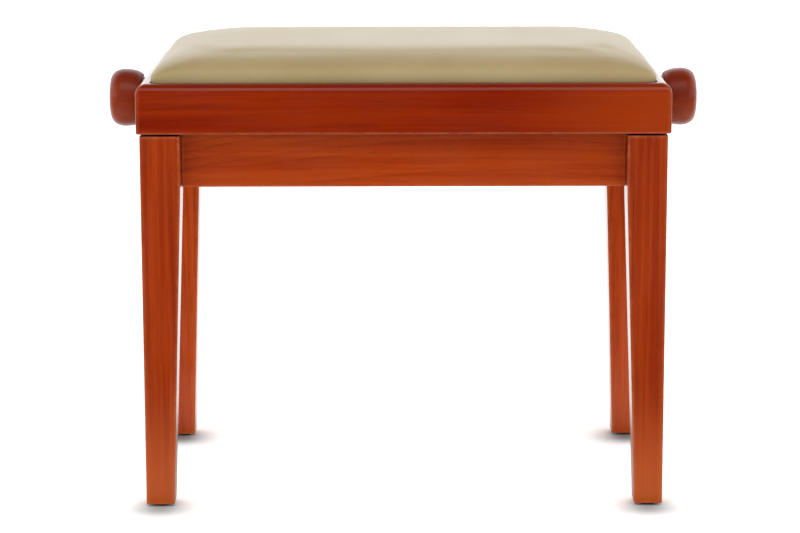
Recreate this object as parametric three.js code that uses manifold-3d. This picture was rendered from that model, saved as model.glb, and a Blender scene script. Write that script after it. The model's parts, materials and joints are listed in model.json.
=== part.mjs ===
// Height-adjustable piano bench: four tapered legs and an apron frame carry a padded seat on a
// steel double-scissor lift. A screw spindle with a wooden knob at each end drives the lift.
//
// Units are millimetres. +X runs along the bench to the sitter's left-to-right, +Y to the rear
// and +Z up. The origin lies on the floor under the middle of the bench. The seat is drawn at
// its lowest setting.

import * as THREE from "three";
import { mergeVertices } from "three/addons/utils/BufferGeometryUtils.js";
import Module from "manifold-3d";

const wasm = await Module();
wasm.setup();

// ---------------------------------------------------------------- driving dimensions

// Base
const BASE_HEIGHT = 394;            // floor to leg tops
const SEAT_OVERHANG = 3.2;          // seat frame beyond the legs, all round
const LEG_WIDTH = 41.3;             // square section above the taper
const LEG_FOOT_WIDTH = 29.5;        // square section at the floor; both outer faces stay upright
const LEG_CHAMFER = 1.6;
const APRON_HEIGHT = 56.3;
const APRON_THICKNESS = 18.5;       // inner face flush with the legs' inner faces
const APRON_CHAMFER = 1.2;
const GLIDE_HEIGHT = 2.5;
const GLIDE_RADIUS = 11;
const GLIDE_NAIL_RADIUS = 1.2;
const GLIDE_NAIL_LENGTH = 12;
const BLOCK_NEAR = 10;              // corner block faces, along the apron from the leg's corner
const BLOCK_FAR = 46;
const BLOCK_HEIGHT = 30;
const BLOCK_DROP = 12;              // block top below the leg tops
const BOLT_RADIUS = 3;
const BOLT_DEPTH = 24;              // into the leg
const BOLT_STUB = 3;                // thread standing out of the nut
const NUT_RADIUS = 5.8;
const NUT_HEIGHT = 5;
const WASHER_RADIUS = 8.5;
const WASHER_HEIGHT = 1.5;

// Seat frame
const SEAT_LENGTH = 550;
const SEAT_DEPTH = 330;
const SEAT_GAP = 2.2;               // daylight between leg tops and seat frame
const SEAT_RAIL_HEIGHT = 51.7;
const SEAT_RAIL_THICKNESS = 22;
const SEAT_RAIL_ROUND = 10.5;       // quarter round on the top outer edge
const SEAT_RAIL_CHAMFER = 1.5;      // bottom outer edge
const REBATE_SHELF = 8;             // width of the ledge that carries the cushion panel

// Cushion
const PANEL_THICKNESS = 9;
const COVER_THICKNESS = 1.5;
const COVER_MARGIN = 0.5;           // cover to the wall of the rebate
const COVER_CORNER = 16;            // plan radius of the cushion's corners
const CUSHION_CROWN = 32.8;         // highest point above the seat frame
const CUSHION_FULLNESS = 4.5;       // power of the crown curve: higher is squarer

// Lift
const LIFT_TRAVEL = 100;
const BATTEN_WIDTH = 40;
const BASE_BATTEN_THICKNESS = 18;
const BASE_BATTEN_INSET = 2.3;      // above the apron's lower edge
const BATTEN_CLEARANCE = 0.5;       // battens to the corner blocks
const ARM_CLEARANCE = 3.8;          // lower arm ends above the base battens
const BAR_CLEARANCE = 1.2;          // seat battens above the widest piece on the spindle line
const SPINDLE_RISE = 17.6;          // spindle axis above the seat frame's lower edge
const WEB_INSET = 20.5;             // track webs from the long aprons' inner faces
const TRACK_FLANGE = 16;
const TRACK_OVERRUN = 18;           // tracks beyond the pivots at rest
const TRACK_LIP = 5;                // steel left beyond a slot's edge
const STEEL = 2;                    // thickness of the angle tracks
const ARM_THICKNESS = 3;
const ARM_WIDTH = 18;
const SHAFT_RADIUS = 4;
const SPIGOT_RADIUS = 5;
const CROSSBAR_WALL = 2.4;          // steel left round the drive nut's bore
const HEAD_THICKNESS = 1.5;
const HEAD_RIM = 2;                 // pin heads beyond the shank, as radius
const SCREW_RADIUS = 1.8;
const SCREW_POINT = 1.8;
const SCREW_COVER = 3;              // wood left past a screw's point
const SCREW_HEAD_RADIUS = 4;
const SCREW_HEAD_TAPER = 0.8;
const SCREW_HEAD_HEIGHT = 1.8;

// Spindle and knobs
const SPINDLE_RADIUS = 6;
const KNOB_RADIUS = 31;
const KNOB_FACE_RADIUS = 24;        // flat face towards the seat frame
const KNOB_WIDEST = 20;             // station of the full radius from that face
const KNOB_LENGTH = 36;
const KNOB_SQUARENESS = 0.42;       // lower is a flatter outer end with a tighter shoulder
const KNOB_GAP = 6;                 // seat frame to knob
const KNOB_BORE_DEPTH = 24;
const COLLAR_RIM = 4;               // beyond the spindle, as radius
const COLLAR_LENGTH = 6;
const BUSHING_WALL = 2.7;
const BUSHING_FLANGE_RIM = 4;       // beyond the bushing, as radius
const BUSHING_FLANGE = 1.8;

// Clearances
const GLUE_GAP = 0.1;               // faces that are glued, screwed or rest on each other
const FIT_GAP = 0.3;                // turned pieces in their holes
const SIDE_GAP = 0.6;               // between neighbouring arms, webs and heads
const FLOAT_GAP = 1.1;              // slots and loose holes that let the scissor shift a little

// ---------------------------------------------------------------- derived places

const INNER_X = SEAT_LENGTH / 2 - SEAT_OVERHANG - LEG_WIDTH;
const INNER_Y = SEAT_DEPTH / 2 - SEAT_OVERHANG - LEG_WIDTH;
const APRON_BOTTOM = BASE_HEIGHT - APRON_HEIGHT;
const SEAT_BOTTOM = BASE_HEIGHT + SEAT_GAP;
const SEAT_TOP = SEAT_BOTTOM + SEAT_RAIL_HEIGHT;
const REBATE_OFFSET = SEAT_RAIL_THICKNESS - REBATE_SHELF;
const LEDGE_Z = SEAT_TOP - PANEL_THICKNESS;
const BASE_BATTEN_TOP = APRON_BOTTOM + BASE_BATTEN_INSET + BASE_BATTEN_THICKNESS;
const LOWER_PIVOT_Z = BASE_BATTEN_TOP + ARM_WIDTH / 2 + ARM_CLEARANCE;
const SPINDLE_Z = SEAT_BOTTOM + SPINDLE_RISE;
const PIVOT_X = INNER_X - BLOCK_FAR - BATTEN_CLEARANCE - BATTEN_WIDTH / 2;
const CROSSBAR_HALF = SPINDLE_RADIUS + FLOAT_GAP + CROSSBAR_WALL;
const COLLAR_RADIUS = SPINDLE_RADIUS + COLLAR_RIM;
const BUSHING_RADIUS = SPINDLE_RADIUS + FIT_GAP + BUSHING_WALL;
const SPINDLE_LINE_HALF = Math.max(ARM_WIDTH / 2, CROSSBAR_HALF, COLLAR_RADIUS);
const SEAT_BATTEN_BOTTOM = SPINDLE_Z + SPINDLE_LINE_HALF + BAR_CLEARANCE;
const BLOCK_TOP = BASE_HEIGHT - BLOCK_DROP;
const BOLT_Z = BLOCK_TOP - BLOCK_HEIGHT / 2;

// The scissor: both arms span the same rise and run, and their free ends creep inwards as it lifts.
const ARM_RISE = SPINDLE_Z - LOWER_PIVOT_Z;
const ARM_LENGTH = Math.hypot(2 * PIVOT_X, ARM_RISE);
const ARM_ANGLE = Math.atan2(ARM_RISE, 2 * PIVOT_X);
const RAISED_RUN = Math.sqrt(ARM_LENGTH ** 2 - (ARM_RISE + LIFT_TRAVEL) ** 2);
const SLIDE_TRAVEL = 2 * PIVOT_X - RAISED_RUN;

// Layers across the bench, from the middle out: arm A, arm B, centre pin head, web, shaft head.
const WEB_OUTER = INNER_Y - WEB_INSET;
const WEB_INNER = WEB_OUTER - STEEL;
const ARM_B_OUTER = WEB_INNER - HEAD_THICKNESS - 2 * SIDE_GAP;
const ARM_B_INNER = ARM_B_OUTER - ARM_THICKNESS;
const ARM_A_OUTER = ARM_B_INNER - SIDE_GAP;
const ARM_A_INNER = ARM_A_OUTER - ARM_THICKNESS;
const HEAD_INNER = WEB_OUTER + SIDE_GAP;

const SIDES = [["front", -1], ["rear", 1]];
const ENDS = [["left", -1], ["right", 1]];
const CORNERS = ["front_left", "front_right", "rear_right", "rear_left"];
const ROUND = 16;                   // facets round a shaft or hole
const QUARTER = Math.PI / 2;

// ---------------------------------------------------------------- finishes

const FINISHES = {
  cherry: { color: 0xa04a1c, roughness: 0.35, metalness: 0 },
  knobWood: { color: 0x8a3a20, roughness: 0.35, metalness: 0 },
  beech: { color: 0xc9a36b, roughness: 0.6, metalness: 0 },
  plywood: { color: 0xd8b98a, roughness: 0.7, metalness: 0 },
  foam: { color: 0xe8e2c8, roughness: 0.95, metalness: 0 },
  leatherette: { color: 0xcfc3a8, roughness: 0.45, metalness: 0 },
  steel: { color: 0x8f9296, roughness: 0.4, metalness: 0.9 },
  zinc: { color: 0xb9bcc0, roughness: 0.3, metalness: 0.9 },
  brass: { color: 0xb08d4a, roughness: 0.35, metalness: 0.9 },
  glide: { color: 0x26221f, roughness: 0.6, metalness: 0 },
};

// ---------------------------------------------------------------- geometry helpers

/** Closed geometry as a solid that can be joined and cut. */
function toSolid(geometry) {
  const bare = geometry.clone();
  bare.deleteAttribute("normal");
  bare.deleteAttribute("uv");
  const merged = mergeVertices(bare, 1e-4);
  const vertProperties = new Float32Array(merged.attributes.position.array);
  const triVerts = new Uint32Array(merged.index.array);
  return new wasm.Manifold(new wasm.Mesh({ numProp: 3, vertProperties, triVerts }));
}

/** Solid back as indexed geometry. */
function toGeometry(solid) {
  const { vertProperties, triVerts } = solid.getMesh();
  const geometry = new THREE.BufferGeometry();
  geometry.setAttribute("position", new THREE.BufferAttribute(vertProperties, 3));
  geometry.setIndex(new THREE.BufferAttribute(triVerts, 1));
  return geometry;
}

/** Body with every tool cut out of it. */
function cut(body, tools) {
  let solid = toSolid(body);
  for (const tool of tools) {
    solid = solid.subtract(toSolid(tool));
  }
  return toGeometry(solid);
}

/** Several overlapping geometries as one body. */
function join(parts) {
  let solid = toSolid(parts[0]);
  for (const part of parts.slice(1)) {
    solid = solid.add(toSolid(part));
  }
  return toGeometry(solid);
}

/** Box given by its lowest and highest corners. */
function block(low, high) {
  const size = high.map((value, axis) => value - low[axis]);
  const middle = high.map((value, axis) => (value + low[axis]) / 2);
  return new THREE.BoxGeometry(...size).translate(...middle);
}

/** Cylinder on one axis ("x", "y" or "z") through a centre line point, between two stations. */
function cylinder(axis, radius, from, to, centre = [0, 0, 0], facets = ROUND) {
  const geometry = new THREE.CylinderGeometry(radius, radius, to - from, facets);
  geometry.translate(0, (from + to) / 2, 0);
  if (axis === "x") {
    geometry.rotateZ(-QUARTER);
  }
  if (axis === "z") {
    geometry.rotateX(QUARTER);
  }
  return geometry.translate(...centre);
}

/** Body turned round the Z axis from [radius, height] points that start and end on the axis. */
function turned(profile, facets = ROUND) {
  const points = profile.map(([radius, height]) => new THREE.Vector2(radius, height));
  return new THREE.LatheGeometry(points, facets).rotateX(QUARTER);
}

/** Turned body laid along +X, so heights become stations along X. */
function turnedAlongX(profile, facets = ROUND) {
  return turned(profile, facets).rotateY(QUARTER);
}

/** Turned body laid across the bench, so heights become stations along +Y times side. */
function turnedAcross(profile, side) {
  return turned(profile).rotateX(-side * QUARTER);
}

/** Outline of [y, z] points drawn out along X between two stations. */
function drawnAlongX(outline, from, to) {
  const shape = new THREE.Shape(outline.map(([y, z]) => new THREE.Vector2(y, z)));
  const geometry = new THREE.ExtrudeGeometry(shape, { depth: to - from, bevelEnabled: false });
  const basis = new THREE.Matrix4().makeBasis(
    new THREE.Vector3(0, 1, 0),
    new THREE.Vector3(0, 0, 1),
    new THREE.Vector3(1, 0, 0),
  );
  return geometry.applyMatrix4(basis).translate(from, 0, 0);
}

/** Round-ended bar or slot in the XZ plane from the origin to (length, 0), as a shape. */
function stadium(length, radius) {
  const shape = new THREE.Shape();
  shape.absarc(length, 0, radius, -QUARTER, QUARTER, false);
  shape.absarc(0, 0, radius, QUARTER, 3 * QUARTER, false);
  return shape;
}

/** Shape in the XZ plane given thickness along Y between two stations. */
function plate(shape, fromY, toY, curveSegments = ROUND / 2) {
  const settings = { depth: toY - fromY, bevelEnabled: false, curveSegments };
  return new THREE.ExtrudeGeometry(shape, settings).rotateX(QUARTER).translate(0, toY, 0);
}

/** Convex loop of a rectangle with cut corners, anticlockwise from above. */
function cutCornerLoop([lowX, lowY], [highX, highY], chamfer, z) {
  return [
    [lowX + chamfer, lowY], [highX - chamfer, lowY],
    [highX, lowY + chamfer], [highX, highY - chamfer],
    [highX - chamfer, highY], [lowX + chamfer, highY],
    [lowX, highY - chamfer], [lowX, lowY + chamfer],
  ].map(([x, y]) => [x, y, z]);
}

/** Convex loop of a centred rectangle with round corners, anticlockwise from above. */
function roundCornerLoop(halfX, halfY, radius, z, steps = 5) {
  const loop = [];
  for (let corner = 0; corner < 4; corner++) {
    const signX = corner === 0 || corner === 3 ? 1 : -1;
    const signY = corner < 2 ? 1 : -1;
    for (let step = 0; step <= steps; step++) {
      const angle = (corner + step / steps) * QUARTER;
      const x = signX * (halfX - radius) + radius * Math.cos(angle);
      const y = signY * (halfY - radius) + radius * Math.sin(angle);
      loop.push([x, y, z]);
    }
  }
  return loop;
}

/** Closed body skinned over a stack of loops with equal point counts, from the bottom up.
 *  The bottom is closed flat, and the top flat or up to an apex. */
function skinned(loops, apex = null) {
  const count = loops[0].length;
  const points = loops.flat();
  const faces = [];
  for (let level = 0; level + 1 < loops.length; level++) {
    for (let i = 0; i < count; i++) {
      const here = level * count + i;
      const next = level * count + ((i + 1) % count);
      faces.push(here, next, next + count);
      faces.push(here, next + count, here + count);
    }
  }
  for (let i = 1; i + 1 < count; i++) {
    faces.push(0, i + 1, i);
  }
  const rim = (loops.length - 1) * count;
  if (apex) {
    points.push(apex);
  }
  for (let i = 0; i < count; i++) {
    const next = (i + 1) % count;
    if (apex) {
      faces.push(points.length - 1, rim + i, rim + next);
    } else if (i > 0 && next > 0) {
      faces.push(rim, rim + i, rim + next);
    }
  }
  const geometry = new THREE.BufferGeometry();
  geometry.setAttribute("position", new THREE.Float32BufferAttribute(points.flat(), 3));
  geometry.setIndex(faces);
  return geometry;
}

/** Adds a named mesh with a finish of its own to a group. */
function add(group, name, geometry, finish, position = [0, 0, 0]) {
  geometry.computeVertexNormals();
  const mesh = new THREE.Mesh(geometry, new THREE.MeshStandardMaterial(FINISHES[finish]));
  mesh.name = name;
  mesh.position.set(...position);
  group.add(mesh);
}

/** New group inside a parent, at a place and turned about one axis. */
function subgroup(parent, position = [0, 0, 0], axis = "z", angle = 0) {
  const group = new THREE.Group();
  group.position.set(...position);
  group.rotation[axis] = angle;
  parent.add(group);
  return group;
}

// ---------------------------------------------------------------- base: legs and aprons

/** Tapered leg. Its inner corner stands on the Z axis and its outer faces lie towards -X and -Y. */
function legGeometry(nailPlace) {
  const outer = [-LEG_WIDTH, -LEG_WIDTH];
  const taper = LEG_FOOT_WIDTH - LEG_WIDTH;
  const body = skinned([
    cutCornerLoop(outer, [taper, taper], LEG_CHAMFER, GLIDE_HEIGHT + GLUE_GAP),
    cutCornerLoop(outer, [0, 0], LEG_CHAMFER, APRON_BOTTOM),
    cutCornerLoop(outer, [0, 0], LEG_CHAMFER, BASE_HEIGHT),
  ]);
  const nailHole = cylinder(
    "z", GLIDE_NAIL_RADIUS + FIT_GAP, 0, GLIDE_HEIGHT + GLIDE_NAIL_LENGTH + FIT_GAP, nailPlace,
  );
  return cut(body, [boltHole(), nailHole]);
}

/** Tool or shank along the corner's diagonal at a height, between two distances from the corner. */
function diagonalRod(radius, from, to, z, facets = ROUND) {
  return cylinder("x", radius, from, to, [0, 0, 0], facets).rotateZ(Math.PI / 4).translate(0, 0, z);
}

/** Hole for the leg bolt, from inside the leg out past the corner block. */
function boltHole() {
  return diagonalRod(BOLT_RADIUS + FIT_GAP, -BOLT_DEPTH - FIT_GAP, BLOCK_FAR, BOLT_Z, 16);
}

/** Corner block between two aprons, drilled for the leg bolt. */
function cornerBlockGeometry() {
  const outline = [
    [BLOCK_NEAR, GLUE_GAP], [BLOCK_FAR, GLUE_GAP], [GLUE_GAP, BLOCK_FAR], [GLUE_GAP, BLOCK_NEAR],
  ];
  const levels = [BLOCK_TOP - BLOCK_HEIGHT, BLOCK_TOP];
  return cut(skinned(levels.map((z) => outline.map(([x, y]) => [x, y, z]))), [boltHole()]);
}

/** Hanger bolt with its washer and nut, run from inside the leg out through the corner block. */
function legBoltGeometry() {
  const washerStart = BLOCK_FAR / Math.SQRT2 + 2 * GLUE_GAP;
  const washerEnd = washerStart + WASHER_HEIGHT;
  const nutEnd = washerEnd + NUT_HEIGHT;
  return join([
    diagonalRod(BOLT_RADIUS, -BOLT_DEPTH, nutEnd + BOLT_STUB, BOLT_Z, 16),
    diagonalRod(WASHER_RADIUS, washerStart, washerEnd, BOLT_Z),
    diagonalRod(NUT_RADIUS, washerEnd - GLUE_GAP, nutEnd, BOLT_Z, 6),
  ]);
}

/** Four corners, each with its leg, nailed glide, corner block and leg bolt. */
function addCorners(base) {
  const footMiddle = LEG_FOOT_WIDTH / 2 - LEG_WIDTH;
  const nailPlace = [footMiddle, footMiddle, 0];
  CORNERS.forEach((corner, turn) => {
    const signX = turn === 0 || turn === 3 ? -1 : 1;
    const signY = turn < 2 ? -1 : 1;
    const place = [signX * INNER_X, signY * INNER_Y, 0];
    const group = subgroup(base, place, "z", turn * QUARTER);
    const glide = turned([
      [0, 0], [GLIDE_RADIUS - 0.8, 0], [GLIDE_RADIUS, 0.8], [GLIDE_RADIUS, GLIDE_HEIGHT],
      [GLIDE_NAIL_RADIUS, GLIDE_HEIGHT], [GLIDE_NAIL_RADIUS, GLIDE_HEIGHT + GLIDE_NAIL_LENGTH - 2],
      [0, GLIDE_HEIGHT + GLIDE_NAIL_LENGTH],
    ]);
    add(group, `leg_${corner}`, legGeometry(nailPlace), "cherry");
    add(group, `foot_glide_${corner}`, glide, "glide", nailPlace);
    add(group, `corner_block_${corner}`, cornerBlockGeometry(), "beech");
    add(group, `leg_bolt_${corner}`, legBoltGeometry(), "zinc");
  });
}

/** Apron board along X, its inner face on the Y = 0 plane and its body towards -Y. Each end is
 *  notched where the leg bolt passes. */
function apronGeometry(length) {
  const outline = [
    [-APRON_THICKNESS + APRON_CHAMFER, APRON_BOTTOM], [-APRON_CHAMFER, APRON_BOTTOM],
    [0, APRON_BOTTOM + APRON_CHAMFER], [0, BASE_HEIGHT],
    [-APRON_THICKNESS, BASE_HEIGHT], [-APRON_THICKNESS, APRON_BOTTOM + APRON_CHAMFER],
  ];
  const notches = [-1, 1].map((end) => {
    const turn = end < 0 ? 0 : QUARTER;
    return boltHole().rotateZ(turn).translate((end * length) / 2, 0, 0);
  });
  return cut(drawnAlongX(outline, GLUE_GAP - length / 2, length / 2 - GLUE_GAP), notches);
}

/** Four aprons between the legs. */
function addAprons(base) {
  const boards = [
    ["front", INNER_Y, INNER_X], ["right", INNER_X, INNER_Y],
    ["rear", INNER_Y, INNER_X], ["left", INNER_X, INNER_Y],
  ];
  boards.forEach(([name, distance, halfLength], turn) => {
    const group = subgroup(base, [0, 0, 0], "z", turn * QUARTER);
    add(group, `apron_${name}`, apronGeometry(2 * halfLength), "cherry", [0, -distance, 0]);
  });
}

// ---------------------------------------------------------------- lift: tracks, arms, shafts

/** Batten across the bench with a screw hole near each end, for screws that run up or down. */
function battenGeometry(halfLength, bottom, top, screwUp, screwY) {
  const screwEnd = top - bottom - SCREW_COVER + FIT_GAP;
  const [low, high] = screwUp ? [bottom - 1, bottom + screwEnd] : [top - screwEnd, top + 1];
  const holes = [-1, 1].map((side) => (
    cylinder("z", SCREW_RADIUS + FIT_GAP, low, high, [0, side * screwY, 0])
  ));
  const body = block(
    [-BATTEN_WIDTH / 2, GLUE_GAP - halfLength, bottom],
    [BATTEN_WIDTH / 2, halfLength - GLUE_GAP, top],
  );
  return cut(body, holes);
}

/** Angle track: an upright web with a pivot hole and a slot, and a flange turned outwards. */
function trackGeometry(side, flangeZ, pivotZ, pinRadius) {
  const toFlange = Math.sign(flangeZ - pivotZ);
  const lipZ = pivotZ - toFlange * (pinRadius + FLOAT_GAP + TRACK_LIP);
  const foldZ = flangeZ - toFlange * STEEL;
  const flangeEdge = side * (WEB_OUTER + TRACK_FLANGE);
  const outline = [
    [side * WEB_INNER, lipZ], [side * WEB_OUTER, lipZ], [side * WEB_OUTER, foldZ],
    [flangeEdge, foldZ], [flangeEdge, flangeZ], [side * WEB_INNER, flangeZ],
  ];
  const reach = PIVOT_X + TRACK_OVERRUN;
  const [near, far] = [WEB_INNER - 1, WEB_OUTER + 1].map((y) => side * y).sort((a, b) => a - b);
  const slot = plate(stadium(SLIDE_TRAVEL, pinRadius + FLOAT_GAP), near, far);
  slot.translate(PIVOT_X - SLIDE_TRAVEL, 0, pivotZ);
  const pivotHole = cylinder("y", pinRadius + FIT_GAP, near, far, [-PIVOT_X, 0, pivotZ]);
  const screwHoles = [-1, 1].map((end) => {
    const place = [end * PIVOT_X, side * (WEB_OUTER + TRACK_FLANGE / 2), flangeZ];
    return cylinder("z", SCREW_RADIUS + FIT_GAP, -2 * STEEL, 2 * STEEL, place);
  });
  return cut(drawnAlongX(outline, -reach, reach), [slot, pivotHole, ...screwHoles]);
}

/** Tracks, battens and screws of one level: the base level, or the seat level upside down. */
function addTrackLevel(group, level) {
  const { prefix, flangeZ, pivotZ, pinRadius, halfLength, battenBottom, battenTop } = level;
  const screwUp = flangeZ > pivotZ;
  const screwY = WEB_OUTER + TRACK_FLANGE / 2;
  const headSeat = flangeZ + (screwUp ? -1 : 1) * (STEEL + GLUE_GAP);
  const shank = battenTop - battenBottom - SCREW_COVER;
  for (const [sideName, side] of SIDES) {
    const track = trackGeometry(side, flangeZ, pivotZ, pinRadius);
    add(group, `${prefix}_track_${sideName}`, track, "steel");
  }
  for (const [endName, end] of ENDS) {
    const place = [end * PIVOT_X, 0, 0];
    const batten = battenGeometry(halfLength, battenBottom, battenTop, screwUp, screwY);
    add(group, `${prefix}_batten_${endName}`, batten, "beech", place);
    for (const [sideName, side] of SIDES) {
      const name = `${prefix}_track_screw_${sideName}_${endName}`;
      const screw = turned([
        [0, -shank], [SCREW_RADIUS, SCREW_POINT - shank], [SCREW_RADIUS, 0],
        [SCREW_HEAD_RADIUS, 0], [SCREW_HEAD_RADIUS - SCREW_HEAD_TAPER, SCREW_HEAD_HEIGHT],
        [0, SCREW_HEAD_HEIGHT],
      ]).rotateX(screwUp ? Math.PI : 0);
      add(group, name, screw, "zinc", [end * PIVOT_X, side * screwY, headSeat]);
    }
  }
}

/** Scissor arm from the origin to (ARM_LENGTH, 0), with holes for its two ends and its middle. */
function armGeometry(holeRadii, innerY, outerY, side) {
  const shape = stadium(ARM_LENGTH, ARM_WIDTH / 2);
  holeRadii.forEach((radius, index) => {
    const hole = new THREE.Path();
    hole.absarc((index * ARM_LENGTH) / 2, 0, radius, 0, 2 * Math.PI, true);
    shape.holes.push(hole);
  });
  const [fromY, toY] = [side * innerY, side * outerY].sort((a, b) => a - b);
  return plate(shape, fromY, toY);
}

/** Cross shaft with a head outside each track web. */
function shaftGeometry(radius) {
  const half = [
    [0, 0], [radius, 0], [radius, HEAD_INNER], [radius + HEAD_RIM, HEAD_INNER],
    [radius + HEAD_RIM, HEAD_INNER + HEAD_THICKNESS], [0, HEAD_INNER + HEAD_THICKNESS],
  ];
  const profile = [...half.slice(1).reverse().map(([r, y]) => [r, -y]), ...half.slice(1)];
  return turnedAcross(profile, 1);
}

/** Square crossbar with a round spigot at each end and a hole along X for the spindle. */
function crossbarGeometry(blockReach, boreRadius) {
  const half = CROSSBAR_HALF;
  const bar = block([-half, -blockReach, -half], [half, blockReach, half]);
  const bore = cylinder("x", boreRadius, -half - 1, half + 1);
  return cut(join([bar, shaftGeometry(SPIGOT_RADIUS)]), [bore]);
}

/** Tracks and battens that stay with the base. */
function addBaseLevel(base) {
  addTrackLevel(base, {
    prefix: "lower",
    flangeZ: BASE_BATTEN_TOP + GLUE_GAP,
    pivotZ: LOWER_PIVOT_Z,
    pinRadius: SHAFT_RADIUS,
    halfLength: INNER_Y,
    battenBottom: BASE_BATTEN_TOP - BASE_BATTEN_THICKNESS,
    battenTop: BASE_BATTEN_TOP,
  });
}

/** Arm pair A, hung on its lower shaft and carrying the drive nut at its top. */
function addArmsA(bench) {
  const group = subgroup(bench, [-PIVOT_X, 0, LOWER_PIVOT_Z], "y", -ARM_ANGLE);
  const holes = [SHAFT_RADIUS + FIT_GAP, SHAFT_RADIUS + FIT_GAP, SPIGOT_RADIUS + FIT_GAP];
  const pinProfile = [
    [0, ARM_A_INNER - SIDE_GAP - HEAD_THICKNESS],
    [SHAFT_RADIUS + HEAD_RIM, ARM_A_INNER - SIDE_GAP - HEAD_THICKNESS],
    [SHAFT_RADIUS + HEAD_RIM, ARM_A_INNER - SIDE_GAP], [SHAFT_RADIUS, ARM_A_INNER - SIDE_GAP],
    [SHAFT_RADIUS, ARM_B_OUTER + SIDE_GAP], [SHAFT_RADIUS + HEAD_RIM, ARM_B_OUTER + SIDE_GAP],
    [SHAFT_RADIUS + HEAD_RIM, ARM_B_OUTER + SIDE_GAP + HEAD_THICKNESS],
    [0, ARM_B_OUTER + SIDE_GAP + HEAD_THICKNESS],
  ];
  for (const [sideName, side] of SIDES) {
    add(group, `arm_a_${sideName}`, armGeometry(holes, ARM_A_INNER, ARM_A_OUTER, side), "steel");
    const pin = turnedAcross(pinProfile, side);
    add(group, `centre_pin_${sideName}`, pin, "zinc", [ARM_LENGTH / 2, 0, 0]);
  }
  add(group, "arm_a_pivot_shaft", shaftGeometry(SHAFT_RADIUS), "zinc");
}

/** Arm pair B, hung from the seat and sliding on its lower shaft. */
function addArmsB(bench) {
  const group = subgroup(bench, [-PIVOT_X, 0, SPINDLE_Z], "y", ARM_ANGLE);
  const holes = [SPIGOT_RADIUS + FIT_GAP, SHAFT_RADIUS + FLOAT_GAP, SHAFT_RADIUS + FIT_GAP];
  for (const [sideName, side] of SIDES) {
    add(group, `arm_b_${sideName}`, armGeometry(holes, ARM_B_INNER, ARM_B_OUTER, side), "steel");
  }
  add(group, "arm_b_slide_shaft", shaftGeometry(SHAFT_RADIUS), "zinc", [ARM_LENGTH, 0, 0]);
}

/** Threaded crossbar that the spindle draws along the upper slots. */
function addDriveNut(bench) {
  const nut = crossbarGeometry(ARM_A_INNER - SIDE_GAP, SPINDLE_RADIUS + FLOAT_GAP);
  add(bench, "drive_nut_bar", nut, "steel", [PIVOT_X, 0, SPINDLE_Z]);
}

// ---------------------------------------------------------------- spindle and knobs

/** Wooden knob along +X: its inner face stands at X = 0 and its bore opens there. */
function knobGeometry() {
  const boreRadius = SPINDLE_RADIUS + FIT_GAP;
  const profile = [[0, KNOB_BORE_DEPTH], [boreRadius, KNOB_BORE_DEPTH], [boreRadius, 0]];
  const steps = 5;
  for (let step = 0; step <= steps; step++) {
    const angle = (step / steps) * QUARTER;
    const radius = KNOB_FACE_RADIUS + (KNOB_RADIUS - KNOB_FACE_RADIUS) * Math.sin(angle);
    profile.push([radius, KNOB_WIDEST * (1 - Math.cos(angle))]);
  }
  for (let step = 1; step < steps; step++) {
    const angle = (step / steps) * QUARTER;
    const radius = KNOB_RADIUS * Math.cos(angle) ** KNOB_SQUARENESS;
    profile.push([radius, KNOB_WIDEST + (KNOB_LENGTH - KNOB_WIDEST) * Math.sin(angle)]);
  }
  profile.push([0, KNOB_LENGTH]);
  return turnedAlongX(profile, 2 * ROUND);
}

/** Spindle with its thrust flange, the loose thrust collar and both knobs. */
function addSpindle(bench) {
  const group = subgroup(bench, [0, 0, SPINDLE_Z]);
  const knobFace = SEAT_LENGTH / 2 + KNOB_GAP;
  const tip = knobFace + KNOB_BORE_DEPTH - FIT_GAP;
  const thrustEnd = -PIVOT_X - CROSSBAR_HALF - FIT_GAP;
  const spindle = turnedAlongX([
    [0, -tip], [SPINDLE_RADIUS, -tip], [SPINDLE_RADIUS, thrustEnd - COLLAR_LENGTH],
    [COLLAR_RADIUS, thrustEnd - COLLAR_LENGTH], [COLLAR_RADIUS, thrustEnd],
    [SPINDLE_RADIUS, thrustEnd], [SPINDLE_RADIUS, tip], [0, tip],
  ]);
  add(group, "screw_spindle", spindle, "zinc");
  const collarStart = CROSSBAR_HALF + FIT_GAP - PIVOT_X;
  const collar = cut(
    cylinder("x", COLLAR_RADIUS, collarStart, collarStart + COLLAR_LENGTH),
    [cylinder("x", SPINDLE_RADIUS + FIT_GAP, collarStart - 1, collarStart + COLLAR_LENGTH + 1)],
  );
  add(group, "thrust_collar", collar, "brass");
  ENDS.forEach(([endName], index) => {
    const end = subgroup(group, [0, 0, 0], "z", (1 - index) * Math.PI);
    add(end, `knob_${endName}`, knobGeometry(), "knobWood", [knobFace, 0, 0]);
  });
}

// ---------------------------------------------------------------- seat

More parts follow.
